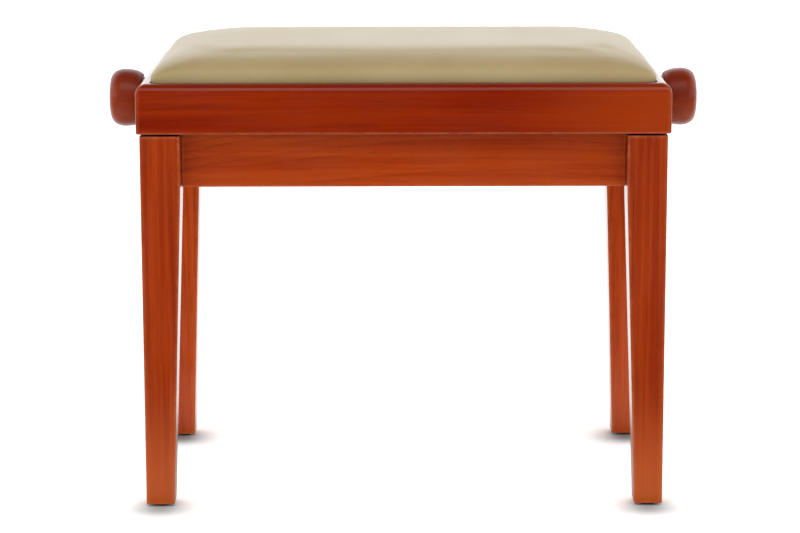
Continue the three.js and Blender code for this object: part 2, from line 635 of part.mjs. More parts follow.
/** Seat rail along X with mitred ends. Its outer face is the Y = 0 plane, and it lies towards +Y. */
function seatRailGeometry(length) {
  const shape = new THREE.Shape();
  shape.moveTo(SEAT_RAIL_CHAMFER, 0);
  shape.lineTo(0, SEAT_RAIL_CHAMFER);
  shape.lineTo(0, SEAT_RAIL_HEIGHT - SEAT_RAIL_ROUND);
  const roundZ = SEAT_RAIL_HEIGHT - SEAT_RAIL_ROUND;
  shape.absarc(SEAT_RAIL_ROUND, roundZ, SEAT_RAIL_ROUND, 2 * QUARTER, QUARTER, true);
  shape.lineTo(REBATE_OFFSET, SEAT_RAIL_HEIGHT);
  shape.lineTo(REBATE_OFFSET, SEAT_RAIL_HEIGHT - PANEL_THICKNESS);
  shape.lineTo(SEAT_RAIL_THICKNESS, SEAT_RAIL_HEIGHT - PANEL_THICKNESS);
  shape.lineTo(SEAT_RAIL_THICKNESS, 0);
  const points = shape.getPoints(6).map(({ x, y }) => [x, y]);
  const geometry = drawnAlongX(points, -1, 1);
  const { position } = geometry.attributes;
  for (let i = 0; i < position.count; i++) {
    const reach = length / 2 - position.getY(i) - GLUE_GAP;
    position.setX(i, Math.sign(position.getX(i)) * reach);
  }
  return geometry;
}

/** Four mitred rails, the end ones with a bushing where the spindle passes through. */
function addSeatRails(seat) {
  const rails = [
    ["front", SEAT_DEPTH, SEAT_LENGTH], ["right", SEAT_LENGTH, SEAT_DEPTH],
    ["rear", SEAT_DEPTH, SEAT_LENGTH], ["left", SEAT_LENGTH, SEAT_DEPTH],
  ];
  const axisZ = SPINDLE_Z - SEAT_BOTTOM;
  const bushingHole = cylinder(
    "y", BUSHING_RADIUS + FIT_GAP, -1, SEAT_RAIL_THICKNESS + 1, [0, 0, axisZ],
  );
  const flangeRadius = BUSHING_RADIUS + BUSHING_FLANGE_RIM;
  const bushingProfile = [
    [SPINDLE_RADIUS + FIT_GAP, 0], [BUSHING_RADIUS, 0],
    [BUSHING_RADIUS, SEAT_RAIL_THICKNESS + GLUE_GAP],
    [flangeRadius, SEAT_RAIL_THICKNESS + GLUE_GAP],
    [flangeRadius, SEAT_RAIL_THICKNESS + BUSHING_FLANGE],
    [SPINDLE_RADIUS + FIT_GAP, SEAT_RAIL_THICKNESS + BUSHING_FLANGE],
    [SPINDLE_RADIUS + FIT_GAP, 0],
  ];
  rails.forEach(([name, across, along], turn) => {
    const group = subgroup(seat, [0, 0, SEAT_BOTTOM], "z", turn * QUARTER);
    const rail = seatRailGeometry(along);
    const isEnd = turn % 2 === 1;
    add(group, `seat_rail_${name}`, isEnd ? cut(rail, [bushingHole]) : rail, "cherry",
      [0, -across / 2, 0]);
    if (isEnd) {
      const place = [0, SEAT_RAIL_THICKNESS - across / 2, axisZ];
      add(group, `spindle_bushing_${name}`, turnedAcross(bushingProfile, -1), "brass", place);
    }
  });
}

/** Tracks, battens and thrust bar that travel with the seat. */
function addSeatLevel(seat) {
  addTrackLevel(seat, {
    prefix: "upper",
    flangeZ: SEAT_BATTEN_BOTTOM - GLUE_GAP,
    pivotZ: SPINDLE_Z,
    pinRadius: SPIGOT_RADIUS,
    halfLength: SEAT_DEPTH / 2 - SEAT_RAIL_THICKNESS,
    battenBottom: SEAT_BATTEN_BOTTOM,
    battenTop: LEDGE_Z,
  });
  const thrustBar = crossbarGeometry(ARM_B_INNER - SIDE_GAP, SPINDLE_RADIUS + FIT_GAP);
  add(seat, "thrust_bar", thrustBar, "steel", [-PIVOT_X, 0, SPINDLE_Z]);
}

/** Crowned body over the panel: upright at its edge, then a curve of CUSHION_FULLNESS power that
 *  levels out at the middle. Offset pulls its outline and its crown in together. */
function crownedGeometry(offset, bottom) {
  const halfX = SEAT_LENGTH / 2 - REBATE_OFFSET - COVER_MARGIN - offset;
  const halfY = SEAT_DEPTH / 2 - REBATE_OFFSET - COVER_MARGIN - offset;
  const crown = CUSHION_CROWN - offset;
  const corner = COVER_CORNER - offset;
  const steps = 9;
  const loops = [roundCornerLoop(halfX, halfY, corner, bottom)];
  for (let step = 0; step < steps; step++) {
    const share = (step / steps) ** 2;
    const inset = share * halfY;
    const height = crown * Math.sqrt(1 - (1 - share) ** CUSHION_FULLNESS);
    const radius = Math.min(corner + inset / 2, halfY - inset);
    loops.push(roundCornerLoop(halfX - inset, halfY - inset, radius, SEAT_TOP + height));
  }
  return skinned(loops, [0, 0, SEAT_TOP + crown]);
}

/** Cushion: plywood panel in the rebate, foam on it, and the cover over both. */
function addCushion(seat) {
  const inside = COVER_THICKNESS + FIT_GAP;
  const halfX = SEAT_LENGTH / 2 - REBATE_OFFSET - COVER_MARGIN - inside;
  const halfY = SEAT_DEPTH / 2 - REBATE_OFFSET - COVER_MARGIN - inside;
  const panelLevels = [LEDGE_Z + GLUE_GAP, SEAT_TOP];
  const panel = skinned(
    panelLevels.map((z) => roundCornerLoop(halfX, halfY, COVER_CORNER - inside, z)),
  );
  const coverBottom = LEDGE_Z + FIT_GAP;
  const hollow = crownedGeometry(COVER_THICKNESS, coverBottom - 1);
  add(seat, "cushion_panel", panel, "plywood");
  add(seat, "cushion_foam", crownedGeometry(inside, SEAT_TOP + GLUE_GAP), "foam");
  add(seat, "cushion_cover", cut(crownedGeometry(0, coverBottom), [hollow]), "leatherette");
}

// ---------------------------------------------------------------- assembly

const bench = new THREE.Group();
const base = subgroup(bench);
const seat = subgroup(bench);
addCorners(base);
addAprons(base);
addBaseLevel(base);
addArmsA(bench);
addArmsB(bench);
addDriveNut(bench);
addSpindle(bench);
addSeatRails(seat);
addSeatLevel(seat);
addCushion(seat);

export default bench;
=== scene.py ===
"""Looks for a height-adjustable piano bench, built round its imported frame.

The timber, knobs, spindle, glides and cushion are new surfaces worked out with numpy. The steel
lift, battens and fixings keep their own meshes and get a finish. Lengths are in metres, +X runs
along the bench, +Y to the rear and +Z up.
"""

import json
import logging
import math
from dataclasses import dataclass
from enum import Enum
from typing import Iterable, Optional, Protocol, Sequence, Union

import bpy
import numpy as np
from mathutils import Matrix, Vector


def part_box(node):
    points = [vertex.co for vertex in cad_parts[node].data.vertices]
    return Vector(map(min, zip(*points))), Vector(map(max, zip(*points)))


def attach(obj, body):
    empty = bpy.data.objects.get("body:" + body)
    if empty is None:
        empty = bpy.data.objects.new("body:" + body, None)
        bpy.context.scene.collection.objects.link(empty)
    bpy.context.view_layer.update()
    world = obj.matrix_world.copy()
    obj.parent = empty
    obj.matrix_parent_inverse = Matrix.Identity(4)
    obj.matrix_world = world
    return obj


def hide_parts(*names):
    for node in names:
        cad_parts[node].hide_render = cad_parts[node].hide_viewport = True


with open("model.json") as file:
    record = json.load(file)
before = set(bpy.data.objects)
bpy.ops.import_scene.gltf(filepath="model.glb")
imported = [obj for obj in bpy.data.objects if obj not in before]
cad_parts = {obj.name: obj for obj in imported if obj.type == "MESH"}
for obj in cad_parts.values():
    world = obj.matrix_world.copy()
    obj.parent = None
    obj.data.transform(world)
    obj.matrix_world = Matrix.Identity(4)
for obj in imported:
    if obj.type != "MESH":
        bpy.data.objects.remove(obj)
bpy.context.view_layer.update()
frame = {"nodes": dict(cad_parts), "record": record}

log = logging.getLogger("piano_bench")

MM = 0.001
QUARTER = math.pi / 2

Colour = tuple[float, float, float]
Socket = bpy.types.NodeSocket
SocketOrValue = Union[Socket, float]


class Cap(Enum):
    """How the end of a skinned body is closed."""

    FACE = "one flat face"
    POINT = "a fan to the middle of the last ring"


class Corner(Enum):
    """The bench's four corners, as the quarter turns that bring the first one there."""

    FRONT_LEFT = 0
    FRONT_RIGHT = 1
    REAR_RIGHT = 2
    REAR_LEFT = 3


class Run(Enum):
    """The four sides of the apron frame and of the seat frame, as quarter turns."""

    FRONT = 0
    RIGHT = 1
    REAR = 2
    LEFT = 3


class End(Enum):
    """The two ends of the bench, as signs along X."""

    LEFT = -1
    RIGHT = 1


# ------------------------------------------------------------------ surfaces


def linked(name: str, data: bpy.types.ID) -> bpy.types.Object:
    """Adds an object with this data to the scene."""
    made = bpy.data.objects.new(name, data)
    bpy.context.scene.collection.objects.link(made)
    return made


@dataclass
class Surface:
    """A mesh in the making: points, faces and named values on the points."""

    points: np.ndarray
    faces: list[list[int]]
    values: dict[str, np.ndarray]

    def turned(self, quarters: int) -> "Surface":
        """Turns the points about Z by whole quarter turns."""
        cosine, sine = [(1, 0), (0, 1), (-1, 0), (0, -1)][quarters % 4]
        turn = np.array([[cosine, -sine, 0], [sine, cosine, 0], [0, 0, 1]], float)
        return Surface(self.points @ turn.T, self.faces, self.values)

    def moved(self, x: float = 0, y: float = 0, z: float = 0) -> "Surface":
        """Shifts the points."""
        return Surface(self.points + np.array([x, y, z]), self.faces, self.values)

    def mark(self, grain: np.ndarray, edge: np.ndarray, seed: float) -> None:
        """Sets the values that a stained finish reads."""
        self.values.update(grain=grain, edge=edge, seed=np.full(len(self.points), seed))

    def to_object(self, name: str, sharp_degrees: float = 40) -> bpy.types.Object:
        """Makes a Blender object that stands at the origin.

        Args:
            name: name of the piece.
            sharp_degrees: edges that fold more than this stay crisp.

        Returns:
            The linked object.
        """
        mesh = bpy.data.meshes.new(name)
        mesh.from_pydata(self.points.tolist(), [], self.faces)
        for label, data in self.values.items():
            kind = "FLOAT_VECTOR" if data.ndim == 2 else "FLOAT"
            attribute = mesh.attributes.new(label, kind, "POINT")
            key = "vector" if data.ndim == 2 else "value"
            attribute.data.foreach_set(key, np.ascontiguousarray(data, np.float32).ravel())
        mesh.shade_smooth()
        mesh.set_sharp_from_angle(angle=math.radians(sharp_degrees))
        mesh.validate()
        return linked(name, mesh)


def skin(rings: np.ndarray, first: Cap = Cap.FACE, last: Cap = Cap.FACE) -> Surface:
    """Closed body over a stack of rings.

    Ring k's point j joins its neighbours j + 1 on the ring and k + 1 on the next ring. The rings
    run anticlockwise when seen from the last one, so that the faces point out.

    Args:
        rings: array of shape (rings, points, 3).
        first: how the first ring is closed.
        last: how the last ring is closed.

    Returns:
        The surface, with points numbered ring by ring.
    """
    count, size, _ = rings.shape
    rows, columns = np.meshgrid(np.arange(count - 1), np.arange(size), indexing="ij")
    beside = (columns + 1) % size
    lower, upper = rows * size, (rows + 1) * size
    quads = np.stack([lower + columns, lower + beside, upper + beside, upper + columns], axis=-1)
    faces = quads.reshape(-1, 4).tolist()
    points = rings.reshape(-1, 3)
    around = np.arange(size)
    for cap, start, outward in ((first, 0, -1), (last, (count - 1) * size, 1)):
        loop = start + around[::outward]
        if cap is Cap.FACE:
            faces.append(loop.tolist())
            continue
        middle = points[start : start + size].mean(axis=0)
        fan = np.stack([loop, np.roll(loop, -1), np.full(size, len(points))], axis=-1)
        points = np.vstack([points, middle])
        faces.extend(fan.tolist())
    return Surface(points, faces, {})


def round_loop(
    half_x: float, half_y: float, radius: float, arc_steps: int = 6, side_steps: int = 1
) -> np.ndarray:
    """Outline of a centred rectangle with round corners.

    Each corner is a quarter circle about a point one radius in from both sides. Each side has
    a point one radius away from either arc, or a quarter of its length away if it is short, and
    is cut into equal steps between the two.

    Args:
        half_x: half the width.
        half_y: half the depth.
        radius: corner radius.
        arc_steps: steps along each arc.
        side_steps: steps along each straight side.

    Returns:
        Points of shape (n, 2), anticlockwise.
    """
    signs = np.array([[1, 1], [-1, 1], [-1, -1], [1, -1]], float)
    centres = signs * np.array([half_x - radius, half_y - radius])
    angles = (np.arange(4)[:, None] + np.linspace(0, 1, arc_steps + 1)) * QUARTER
    arcs = centres[:, None, :] + radius * np.stack([np.cos(angles), np.sin(angles)], axis=-1)
    ends = np.roll(arcs[:, 0], -1, axis=0)
    guard = np.minimum(radius / np.linalg.norm(ends - arcs[:, -1], axis=1), 0.25)[:, None]
    share = guard + (1 - 2 * guard) * np.linspace(0, 1, side_steps + 1)
    sides = arcs[:, -1][:, None, :] * (1 - share[..., None]) + ends[:, None, :] * share[..., None]
    return np.concatenate([arcs, sides], axis=1).reshape(-1, 2)


def stacked(loops: np.ndarray, heights: np.ndarray) -> np.ndarray:
    """Rings from flat loops of shape (rings, points, 2) and a height for each."""
    upright = np.broadcast_to(heights[:, None, None], (*loops.shape[:2], 1))
    return np.concatenate([loops, upright], axis=-1)


def arc(centre: Sequence[float], radius: float, start: float, end: float, steps: int) -> np.ndarray:
    """Points along a circular arc, angles in degrees, as an array of shape (steps + 1, 2)."""
    angles = np.radians(np.linspace(start, end, steps + 1))
    return np.asarray(centre, float) + radius * np.stack([np.cos(angles), np.sin(angles)], axis=-1)


def turned_along_x(stations: np.ndarray, radii: np.ndarray, facets: int) -> Surface:
    """Body of revolution about the X axis.

    The point at station x and angle a is (x, -r sin a, r cos a), where r is the radius there.
    Radii may differ along the ring, which is how a thread is cut.

    Args:
        stations: places along X, shape (rings,).
        radii: radius at each station, shape (rings,) or (rings, facets).
        facets: points round each ring.

    Returns:
        The surface, closed to a point at both ends.
    """
    angles = np.arange(facets) / facets * 2 * math.pi
    spread = radii[:, None] if radii.ndim == 1 else radii
    along = np.broadcast_to(stations[:, None], (len(stations), facets))
    rings = np.stack([along, -spread * np.sin(angles), spread * np.cos(angles)], axis=-1)
    rings = rings[:, ::-1]
    return skin(rings, Cap.POINT, Cap.POINT)


# ------------------------------------------------------------------ node graphs


class Graph:
    """A node tree, with short calls that add and join nodes."""

    def __init__(self, tree: bpy.types.NodeTree) -> None:
        """Takes a tree and empties it."""
        self.tree = tree
        self.tree.nodes.clear()

    def node(self, kind: str, **settings: object) -> bpy.types.Node:
        """Adds a node of a kind and sets its properties."""
        made = self.tree.nodes.new(f"ShaderNode{kind}")
        for key, value in settings.items():
            setattr(made, key, value)
        return made

    def feed(self, target: Socket, source: Union[SocketOrValue, Sequence[float]]) -> None:
        """Joins a socket to a socket, or sets it to a value."""
        if isinstance(source, bpy.types.NodeSocket):
            self.tree.links.new(source, target)
        else:
            target.default_value = source

    def fill(self, made: bpy.types.Node, **sources: Union[SocketOrValue, Sequence[float]]) -> None:
        """Feeds several inputs of a node by name, with underscores for spaces."""
        for key, source in sources.items():
            self.feed(made.inputs[key.replace("_", " ")], source)

    def stretched(self, place: Socket, scale: Colour, shift: Colour = (0, 0, 0)) -> Socket:
        """Position scaled differently along each axis."""
        mapping = self.node("Mapping")
        self.fill(mapping, Vector=place, Location=shift, Scale=scale)
        return mapping.outputs["Vector"]

    def shifted(self, place: Socket, amount: Socket, step: Sequence[float]) -> Socket:
        """Position moved by an amount times a step."""
        scaled = self.node("VectorMath", operation="SCALE")
        self.feed(scaled.inputs[0], step)
        self.feed(scaled.inputs["Scale"], amount)
        added = self.node("VectorMath", operation="ADD")
        self.feed(added.inputs[0], place)
        self.feed(added.inputs[1], scaled.outputs["Vector"])
        return added.outputs["Vector"]

    def noise(
        self, place: Socket, scale: float, detail: float = 2, rough: float = 0.5, warp: float = 0
    ) -> Socket:
        """Fractal noise from 0 to 1."""
        made = self.node("TexNoise")
        self.fill(made, Vector=place, Scale=scale, Detail=detail, Roughness=rough, Distortion=warp)
        return made.outputs["Fac"]

    def fibres(
        self, place: Socket, scale: Colour, detail: float, rough: float = 0.5, warp: float = 0,
        shift: Colour = (0, 0, 0),
    ) -> Socket:
        """Noise stretched along one axis, as grain and brush marks are."""
        return self.noise(self.stretched(place, scale, shift), 1.0, detail, rough, warp)

    def cells(self, place: Socket, scale: float) -> Socket:
        """Distance from the edges of random cells."""
        made = self.node("TexVoronoi", feature="DISTANCE_TO_EDGE")
        self.fill(made, Vector=place, Scale=scale)
        return made.outputs["Distance"]

    def work(self, operation: str, first: SocketOrValue, second: SocketOrValue = 0.0) -> Socket:
        """One arithmetic step."""
        made = self.node("Math", operation=operation)
        self.feed(made.inputs[0], first)
        self.feed(made.inputs[1], second)
        return made.outputs["Value"]

    def plus(self, first: SocketOrValue, second: SocketOrValue) -> Socket:
        """Adds two values."""
        return self.work("ADD", first, second)

    def minus(self, first: SocketOrValue, second: SocketOrValue) -> Socket:
        """Takes the second value from the first."""
        return self.work("SUBTRACT", first, second)

    def times(self, first: SocketOrValue, second: SocketOrValue) -> Socket:
        """Multiplies two values."""
        return self.work("MULTIPLY", first, second)

    def span(self, source: Socket, low: float, high: float, to_low: float = 0, to_high: float = 1) -> Socket:
        """Maps a range of values smoothly onto another."""
        made = self.node("MapRange", interpolation_type="SMOOTHSTEP")
        self.fill(made, Value=source, From_Min=low, From_Max=high, To_Min=to_low, To_Max=to_high)
        return made.outputs["Result"]

    def blend(
        self, share: SocketOrValue, first: Union[Socket, Colour], second: Union[Socket, Colour]
    ) -> Socket:
        """Mixes two colours by a share."""
        made = self.node("Mix", data_type="RGBA")
        self.feed(made.inputs[0], share)
        for socket, colour in ((made.inputs[6], first), (made.inputs[7], second)):
            self.feed(socket, colour if isinstance(colour, bpy.types.NodeSocket) else (*colour, 1))
        return made.outputs[2]

    def axes(self, place: Socket) -> tuple[Socket, Socket, Socket]:
        """The three parts of a position."""
        split = self.node("SeparateXYZ")
        self.feed(split.inputs[0], place)
        return split.outputs["X"], split.outputs["Y"], split.outputs["Z"]


class SurfaceGraph(Graph):
    """The node tree of one material, with its shader."""

    def __init__(self, name: str) -> None:
        """Starts an empty material with a shader and an output."""
        self.material = bpy.data.materials.new(name)
        self.material.use_nodes = True
        super().__init__(self.material.node_tree)
        self.shader = self.node("BsdfPrincipled")
        self.feed(self.node("OutputMaterial").inputs["Surface"], self.shader.outputs["BSDF"])

    def place(self, attribute: Optional[str] = None) -> Socket:
        """Position that a pattern follows: a named attribute, or the Object coordinates."""
        if attribute is None:
            return self.node("TexCoord").outputs["Object"]
        return self.node("Attribute", attribute_name=attribute).outputs["Vector"]

    def value(self, attribute: str) -> Socket:
        """A named number stored on the points."""
        return self.node("Attribute", attribute_name=attribute).outputs["Fac"]

    def bump(self, height: Socket, distance: float, strength: float = 1) -> None:
        """Raises the surface's shading by a height and joins it to the shader."""
        made = self.node("Bump")
        self.fill(made, Height=height, Distance=distance, Strength=strength)
        self.set(Normal=made.outputs["Normal"])

    def set(self, **inputs: Union[SocketOrValue, Sequence[float]]) -> None:
        """Feeds shader inputs by name."""
        self.fill(self.shader, **inputs)


# ------------------------------------------------------------------ finishes


class Finish(Protocol):
    """Anything that can be brushed, plated or laid on a piece."""

    name: str

    def make(self) -> bpy.types.Material:
        """Builds the material."""


@dataclass(frozen=True)
class StainedWood:
    """Close-grained wood under a cherry stain and a clear lacquer.

    The pattern reads each timber's own "grain" attribute, X along the grain and Y and Z across
    it, and its "seed", which shifts every noise so that no two timbers are alike. Its "edge" is
    above 0 where the stain is rubbed pale and where light is painted paler on the knobs'
    undersides, and below 0 where shade is painted darker: on the seat rails beside the cushion
    and on the knobs' tops.
    """

    name: str
    deep: Colour
    warm: Colour
    line: Colour
    # Paler colour of rubbed stain, also laid on as painted light on the knobs' undersides.
    wear_and_painted_light: Colour
    ring_pitch: float = 0.010
    bow: float = 0.3
    ring_share: float = 0.5
    stripe_pitch: float = 0.0055
    streak_share: float = 0.3
    # A paler colour towards one end of the grain; on the legs it is painted light bounced from the floor.
    pale_end: Colour = (0.62, 0.10, 0.004)
    pale_end_share: float = 0.0
    pale_end_span: tuple[float, float] = (-0.2, -0.05)
    roughness: float = 0.13
    specular: float = 0.5
    crest_reach: float = 0.09
    heart_depth: float = 0.09
    ring_wander: float = 0.012
    ring_tilt: float = 0.8
    streak_scale: Colour = (14, 420, 420)
    fibre_scale: Colour = (40, 1700, 1700)
    pore_scale: Colour = (80, 1500, 1500)
    haze_scale: Colour = (14, 30, 30)
    fibre_share: float = 0.2
    pore_share: float = 0.4
    wear_and_painted_light_share: float = 0.6
    relief: float = 0.03 * MM

    def make(self) -> bpy.types.Material:
        """Builds the stain, growth rings, fibres, pores, rubbed arrises, painted shade and light, and
        lacquer.
        """
        graph = SurfaceGraph(self.name)
        local, seed = graph.place("grain"), graph.value("seed")
        place = graph.shifted(local, seed, (1.31, 0.37, 0.23))
        streaks = graph.fibres(place, self.streak_scale, 3, 0.6)
        fibres = graph.fibres(place, self.fibre_scale, 2)
        pores = graph.span(graph.fibres(place, self.pore_scale, 1, shift=(3, 1, 7)), 0.64, 0.74)
        ringed = graph.times(self.rings(graph, local, place, seed), self.ring_share)
        colour = graph.blend(graph.span(self.stripes(graph, place), 0.3, 0.7), self.deep, self.warm)
        colour = graph.blend(ringed, colour, self.line)
        colour = graph.blend(graph.span(streaks, 0.54, 0.72, 0, self.streak_share), colour, self.line)
        colour = graph.blend(graph.span(fibres, 0.4, 0.65, 0, self.fibre_share), colour, self.warm)
        colour = graph.blend(graph.times(pores, self.pore_share), colour, self.line)
        # Paler towards one end of the grain: painted floor bounce on the legs' lower ends, and on the seat
        # rails simply paler towards one end.
        pale_end = graph.span(graph.axes(local)[0], *self.pale_end_span, self.pale_end_share, 0)
        colour = graph.blend(pale_end, colour, self.pale_end)
        edge = graph.value("edge")
        # Values below 0 are painted shade, blended towards the dark line colour.
        painted_shade = graph.work("MAXIMUM", graph.times(edge, -1.0), 0.0)
        scuffs = graph.span(graph.noise(place, 60, 3, 0.7), 0.3, 0.7, 0.35, 1)
        # Values above 0 pale the stain: real wear at the arrises, and painted light on the knobs'
        # undersides.
        wear_and_painted_light = graph.times(graph.work("MAXIMUM", edge, 0.0), scuffs)
        colour = graph.blend(painted_shade, colour, self.line)
        colour = graph.blend(graph.times(wear_and_painted_light, self.wear_and_painted_light_share), colour, self.wear_and_painted_light)
        haze = graph.span(graph.fibres(place, self.haze_scale, 3, 0.6), 0.3, 0.7, -0.03, 0.04)
        gloss = graph.plus(graph.plus(haze, self.roughness), graph.times(wear_and_painted_light, 0.04))
        graph.set(Base_Color=colour, Roughness=gloss, Specular_IOR_Level=self.specular, IOR=1.5)
        relief = graph.plus(graph.times(streaks, 0.6), graph.times(fibres, 0.4))
        graph.bump(graph.minus(relief, graph.times(pores, 0.5)), self.relief, 0.5)
        return graph.material

    def stripes(self, graph: SurfaceGraph, place: Socket) -> Socket:
        """Lighter and darker bands along the grain over broad blotches, from 0 to 1."""
        across = 1 / self.stripe_pitch
        bands = graph.fibres(place, (2.4, across, across), 2, 0.55, 0.2)
        blotch = graph.fibres(place, (4, 22, 22), 2, 0.5)
        return graph.plus(graph.times(bands, 0.6), graph.times(blotch, 0.4))

    def rings(self, graph: SurfaceGraph, local: Socket, place: Socket, seed: Socket) -> Socket:
        """Growth rings as long arches that darken towards one edge.

        The ring count is the distance from a line outside the timber, plus the bow times the
        square of the way along from the arch's top, over the ring pitch. Noise makes each ring
        wander and fade.
        """
        length, width, depth = graph.axes(local)
        crest = graph.times(graph.work("SINE", graph.times(seed, 2.4)), self.crest_reach)
        along = graph.minus(length, crest)
        arch = graph.times(graph.times(along, along), self.bow)
        wander = graph.fibres(place, (6, 24, 24), 3, 0.55)
        across = graph.plus(graph.plus(width, arch), graph.times(wander, self.ring_wander))
        through = graph.plus(depth, self.heart_depth)
        square = graph.plus(graph.times(across, across), graph.times(through, through))
        tilted = graph.plus(graph.work("SQRT", square), graph.times(across, self.ring_tilt))
        phase = graph.work("FRACT", graph.work("DIVIDE", tilted, self.ring_pitch))
        rise = graph.work("POWER", phase, 4.0)
        fall = graph.span(phase, 0.9, 1.0, 1, 0)
        fading = graph.fibres(place, (9, 60, 60), 3, 0.6, shift=(5, 2, 1))
        return graph.times(graph.times(rise, fall), graph.span(fading, 0.36, 0.6))


@dataclass(frozen=True)
class Leatherette:
    """Smooth embossed upholstery cover with a fine pebble and a soft satin face."""

    name: str
    body: Colour
    rubbed: Colour
    crease: Colour
    roughness: float = 0.42
    pebble_scale: float = 1250
    fine_scale: float = 2600
    relief: float = 0.06 * MM

    def make(self) -> bpy.types.Material:
        """Builds the pebble, the rubbed patches and the sheen."""
        graph = SurfaceGraph(self.name)
        place = graph.place()
        patches = graph.noise(place, 9, 3, 0.5)
        pebble = graph.span(graph.cells(graph.stretched(place, (1, 1, 1.15)), self.pebble_scale), 0.0, 0.28)
        fine = graph.noise(place, self.fine_scale, 2, 0.5)
        colour = graph.blend(graph.span(patches, 0.35, 0.68), self.body, self.rubbed)
        colour = graph.blend(graph.times(graph.minus(1.0, pebble), 0.22), colour, self.crease)
        gloss = graph.plus(graph.span(patches, 0.3, 0.7, -0.04, 0.05), self.roughness)
        graph.set(Base_Color=colour, Roughness=gloss, Specular_IOR_Level=0.45)
        graph.set(Sheen_Weight=0.35, Sheen_Tint=(1.0, 0.95, 0.86, 1.0), Sheen_Roughness=0.45)
        graph.set(Coat_Weight=0.1, Coat_Roughness=0.25)
        graph.bump(graph.plus(pebble, graph.times(fine, 0.25)), self.relief, 0.55)
        return graph.material


@dataclass(frozen=True)
class Metal:
    """Plated, rolled or cast metal with brush marks along one axis."""

    name: str
    bright: Colour
    dull: Colour
    roughness: float
    brush: Colour = (20, 900, 900)

    def make(self) -> bpy.types.Material:
        """Builds the brush marks, stains and small dents."""
        graph = SurfaceGraph(self.name)
        place = graph.place()
        marks = graph.fibres(place, self.brush, 2, 0.6)
        stains = graph.noise(place, 45, 4, 0.6)
        specks = graph.span(graph.noise(place, 900, 1), 0.62, 0.75)
        colour = graph.blend(graph.span(stains, 0.35, 0.7), self.bright, self.dull)
        colour = graph.blend(graph.times(specks, 0.3), colour, self.dull)
        rough = graph.plus(graph.span(marks, 0.2, 0.8, -0.08, 0.1), self.roughness)
        rough = graph.plus(rough, graph.times(specks, 0.1))
        graph.set(Base_Color=colour, Metallic=1.0, Roughness=rough)
        graph.bump(marks, 0.00002, 0.5)
        return graph.material


@dataclass(frozen=True)
class RawWood:
    """Unfinished light timber or plywood, planed along one axis of the bench."""

    name: str
    pale: Colour
    dark: Colour
    along: Colour

    def make(self) -> bpy.types.Material:
        """Builds the grain, flecks and planed surface."""
        graph = SurfaceGraph(self.name)
        place = graph.place()
        grain = graph.fibres(place, self.along, 3, 0.6, 0.4)
        tone = graph.noise(place, 14, 2)
        flecks = graph.span(graph.noise(graph.stretched(place, self.along), 3.0, 2), 0.6, 0.72)
        colour = graph.blend(graph.span(grain, 0.3, 0.7), self.pale, self.dark)
        colour = graph.blend(graph.span(tone, 0.3, 0.7, 0, 0.3), colour, self.dark)
        colour = graph.blend(graph.times(flecks, 0.4), colour, self.dark)
        rough = graph.span(grain, 0.2, 0.8, 0.58, 0.72)
        graph.set(Base_Color=colour, Roughness=rough, Specular_IOR_Level=0.3)
        graph.bump(grain, 0.0001, 0.5)
        return graph.material


@dataclass(frozen=True)
class Plastic:
    """Moulded plastic with a fine spark texture and scuffed patches."""

    name: str
    body: Colour
    scuffed: Colour
    roughness: float = 0.5

    def make(self) -> bpy.types.Material:
        """Builds the spark texture and the scuffs."""
        graph = SurfaceGraph(self.name)
        place = graph.place()
        spark = graph.noise(place, 1800, 2)
        scuffs = graph.noise(place, 120, 4, 0.7)
        graph.set(
            Base_Color=graph.blend(graph.span(scuffs, 0.45, 0.75), self.body, self.scuffed),
            Roughness=graph.span(scuffs, 0.3, 0.7, self.roughness - 0.08, self.roughness + 0.1),
        )
        graph.bump(spark, 0.00003, 0.6)
        return graph.material


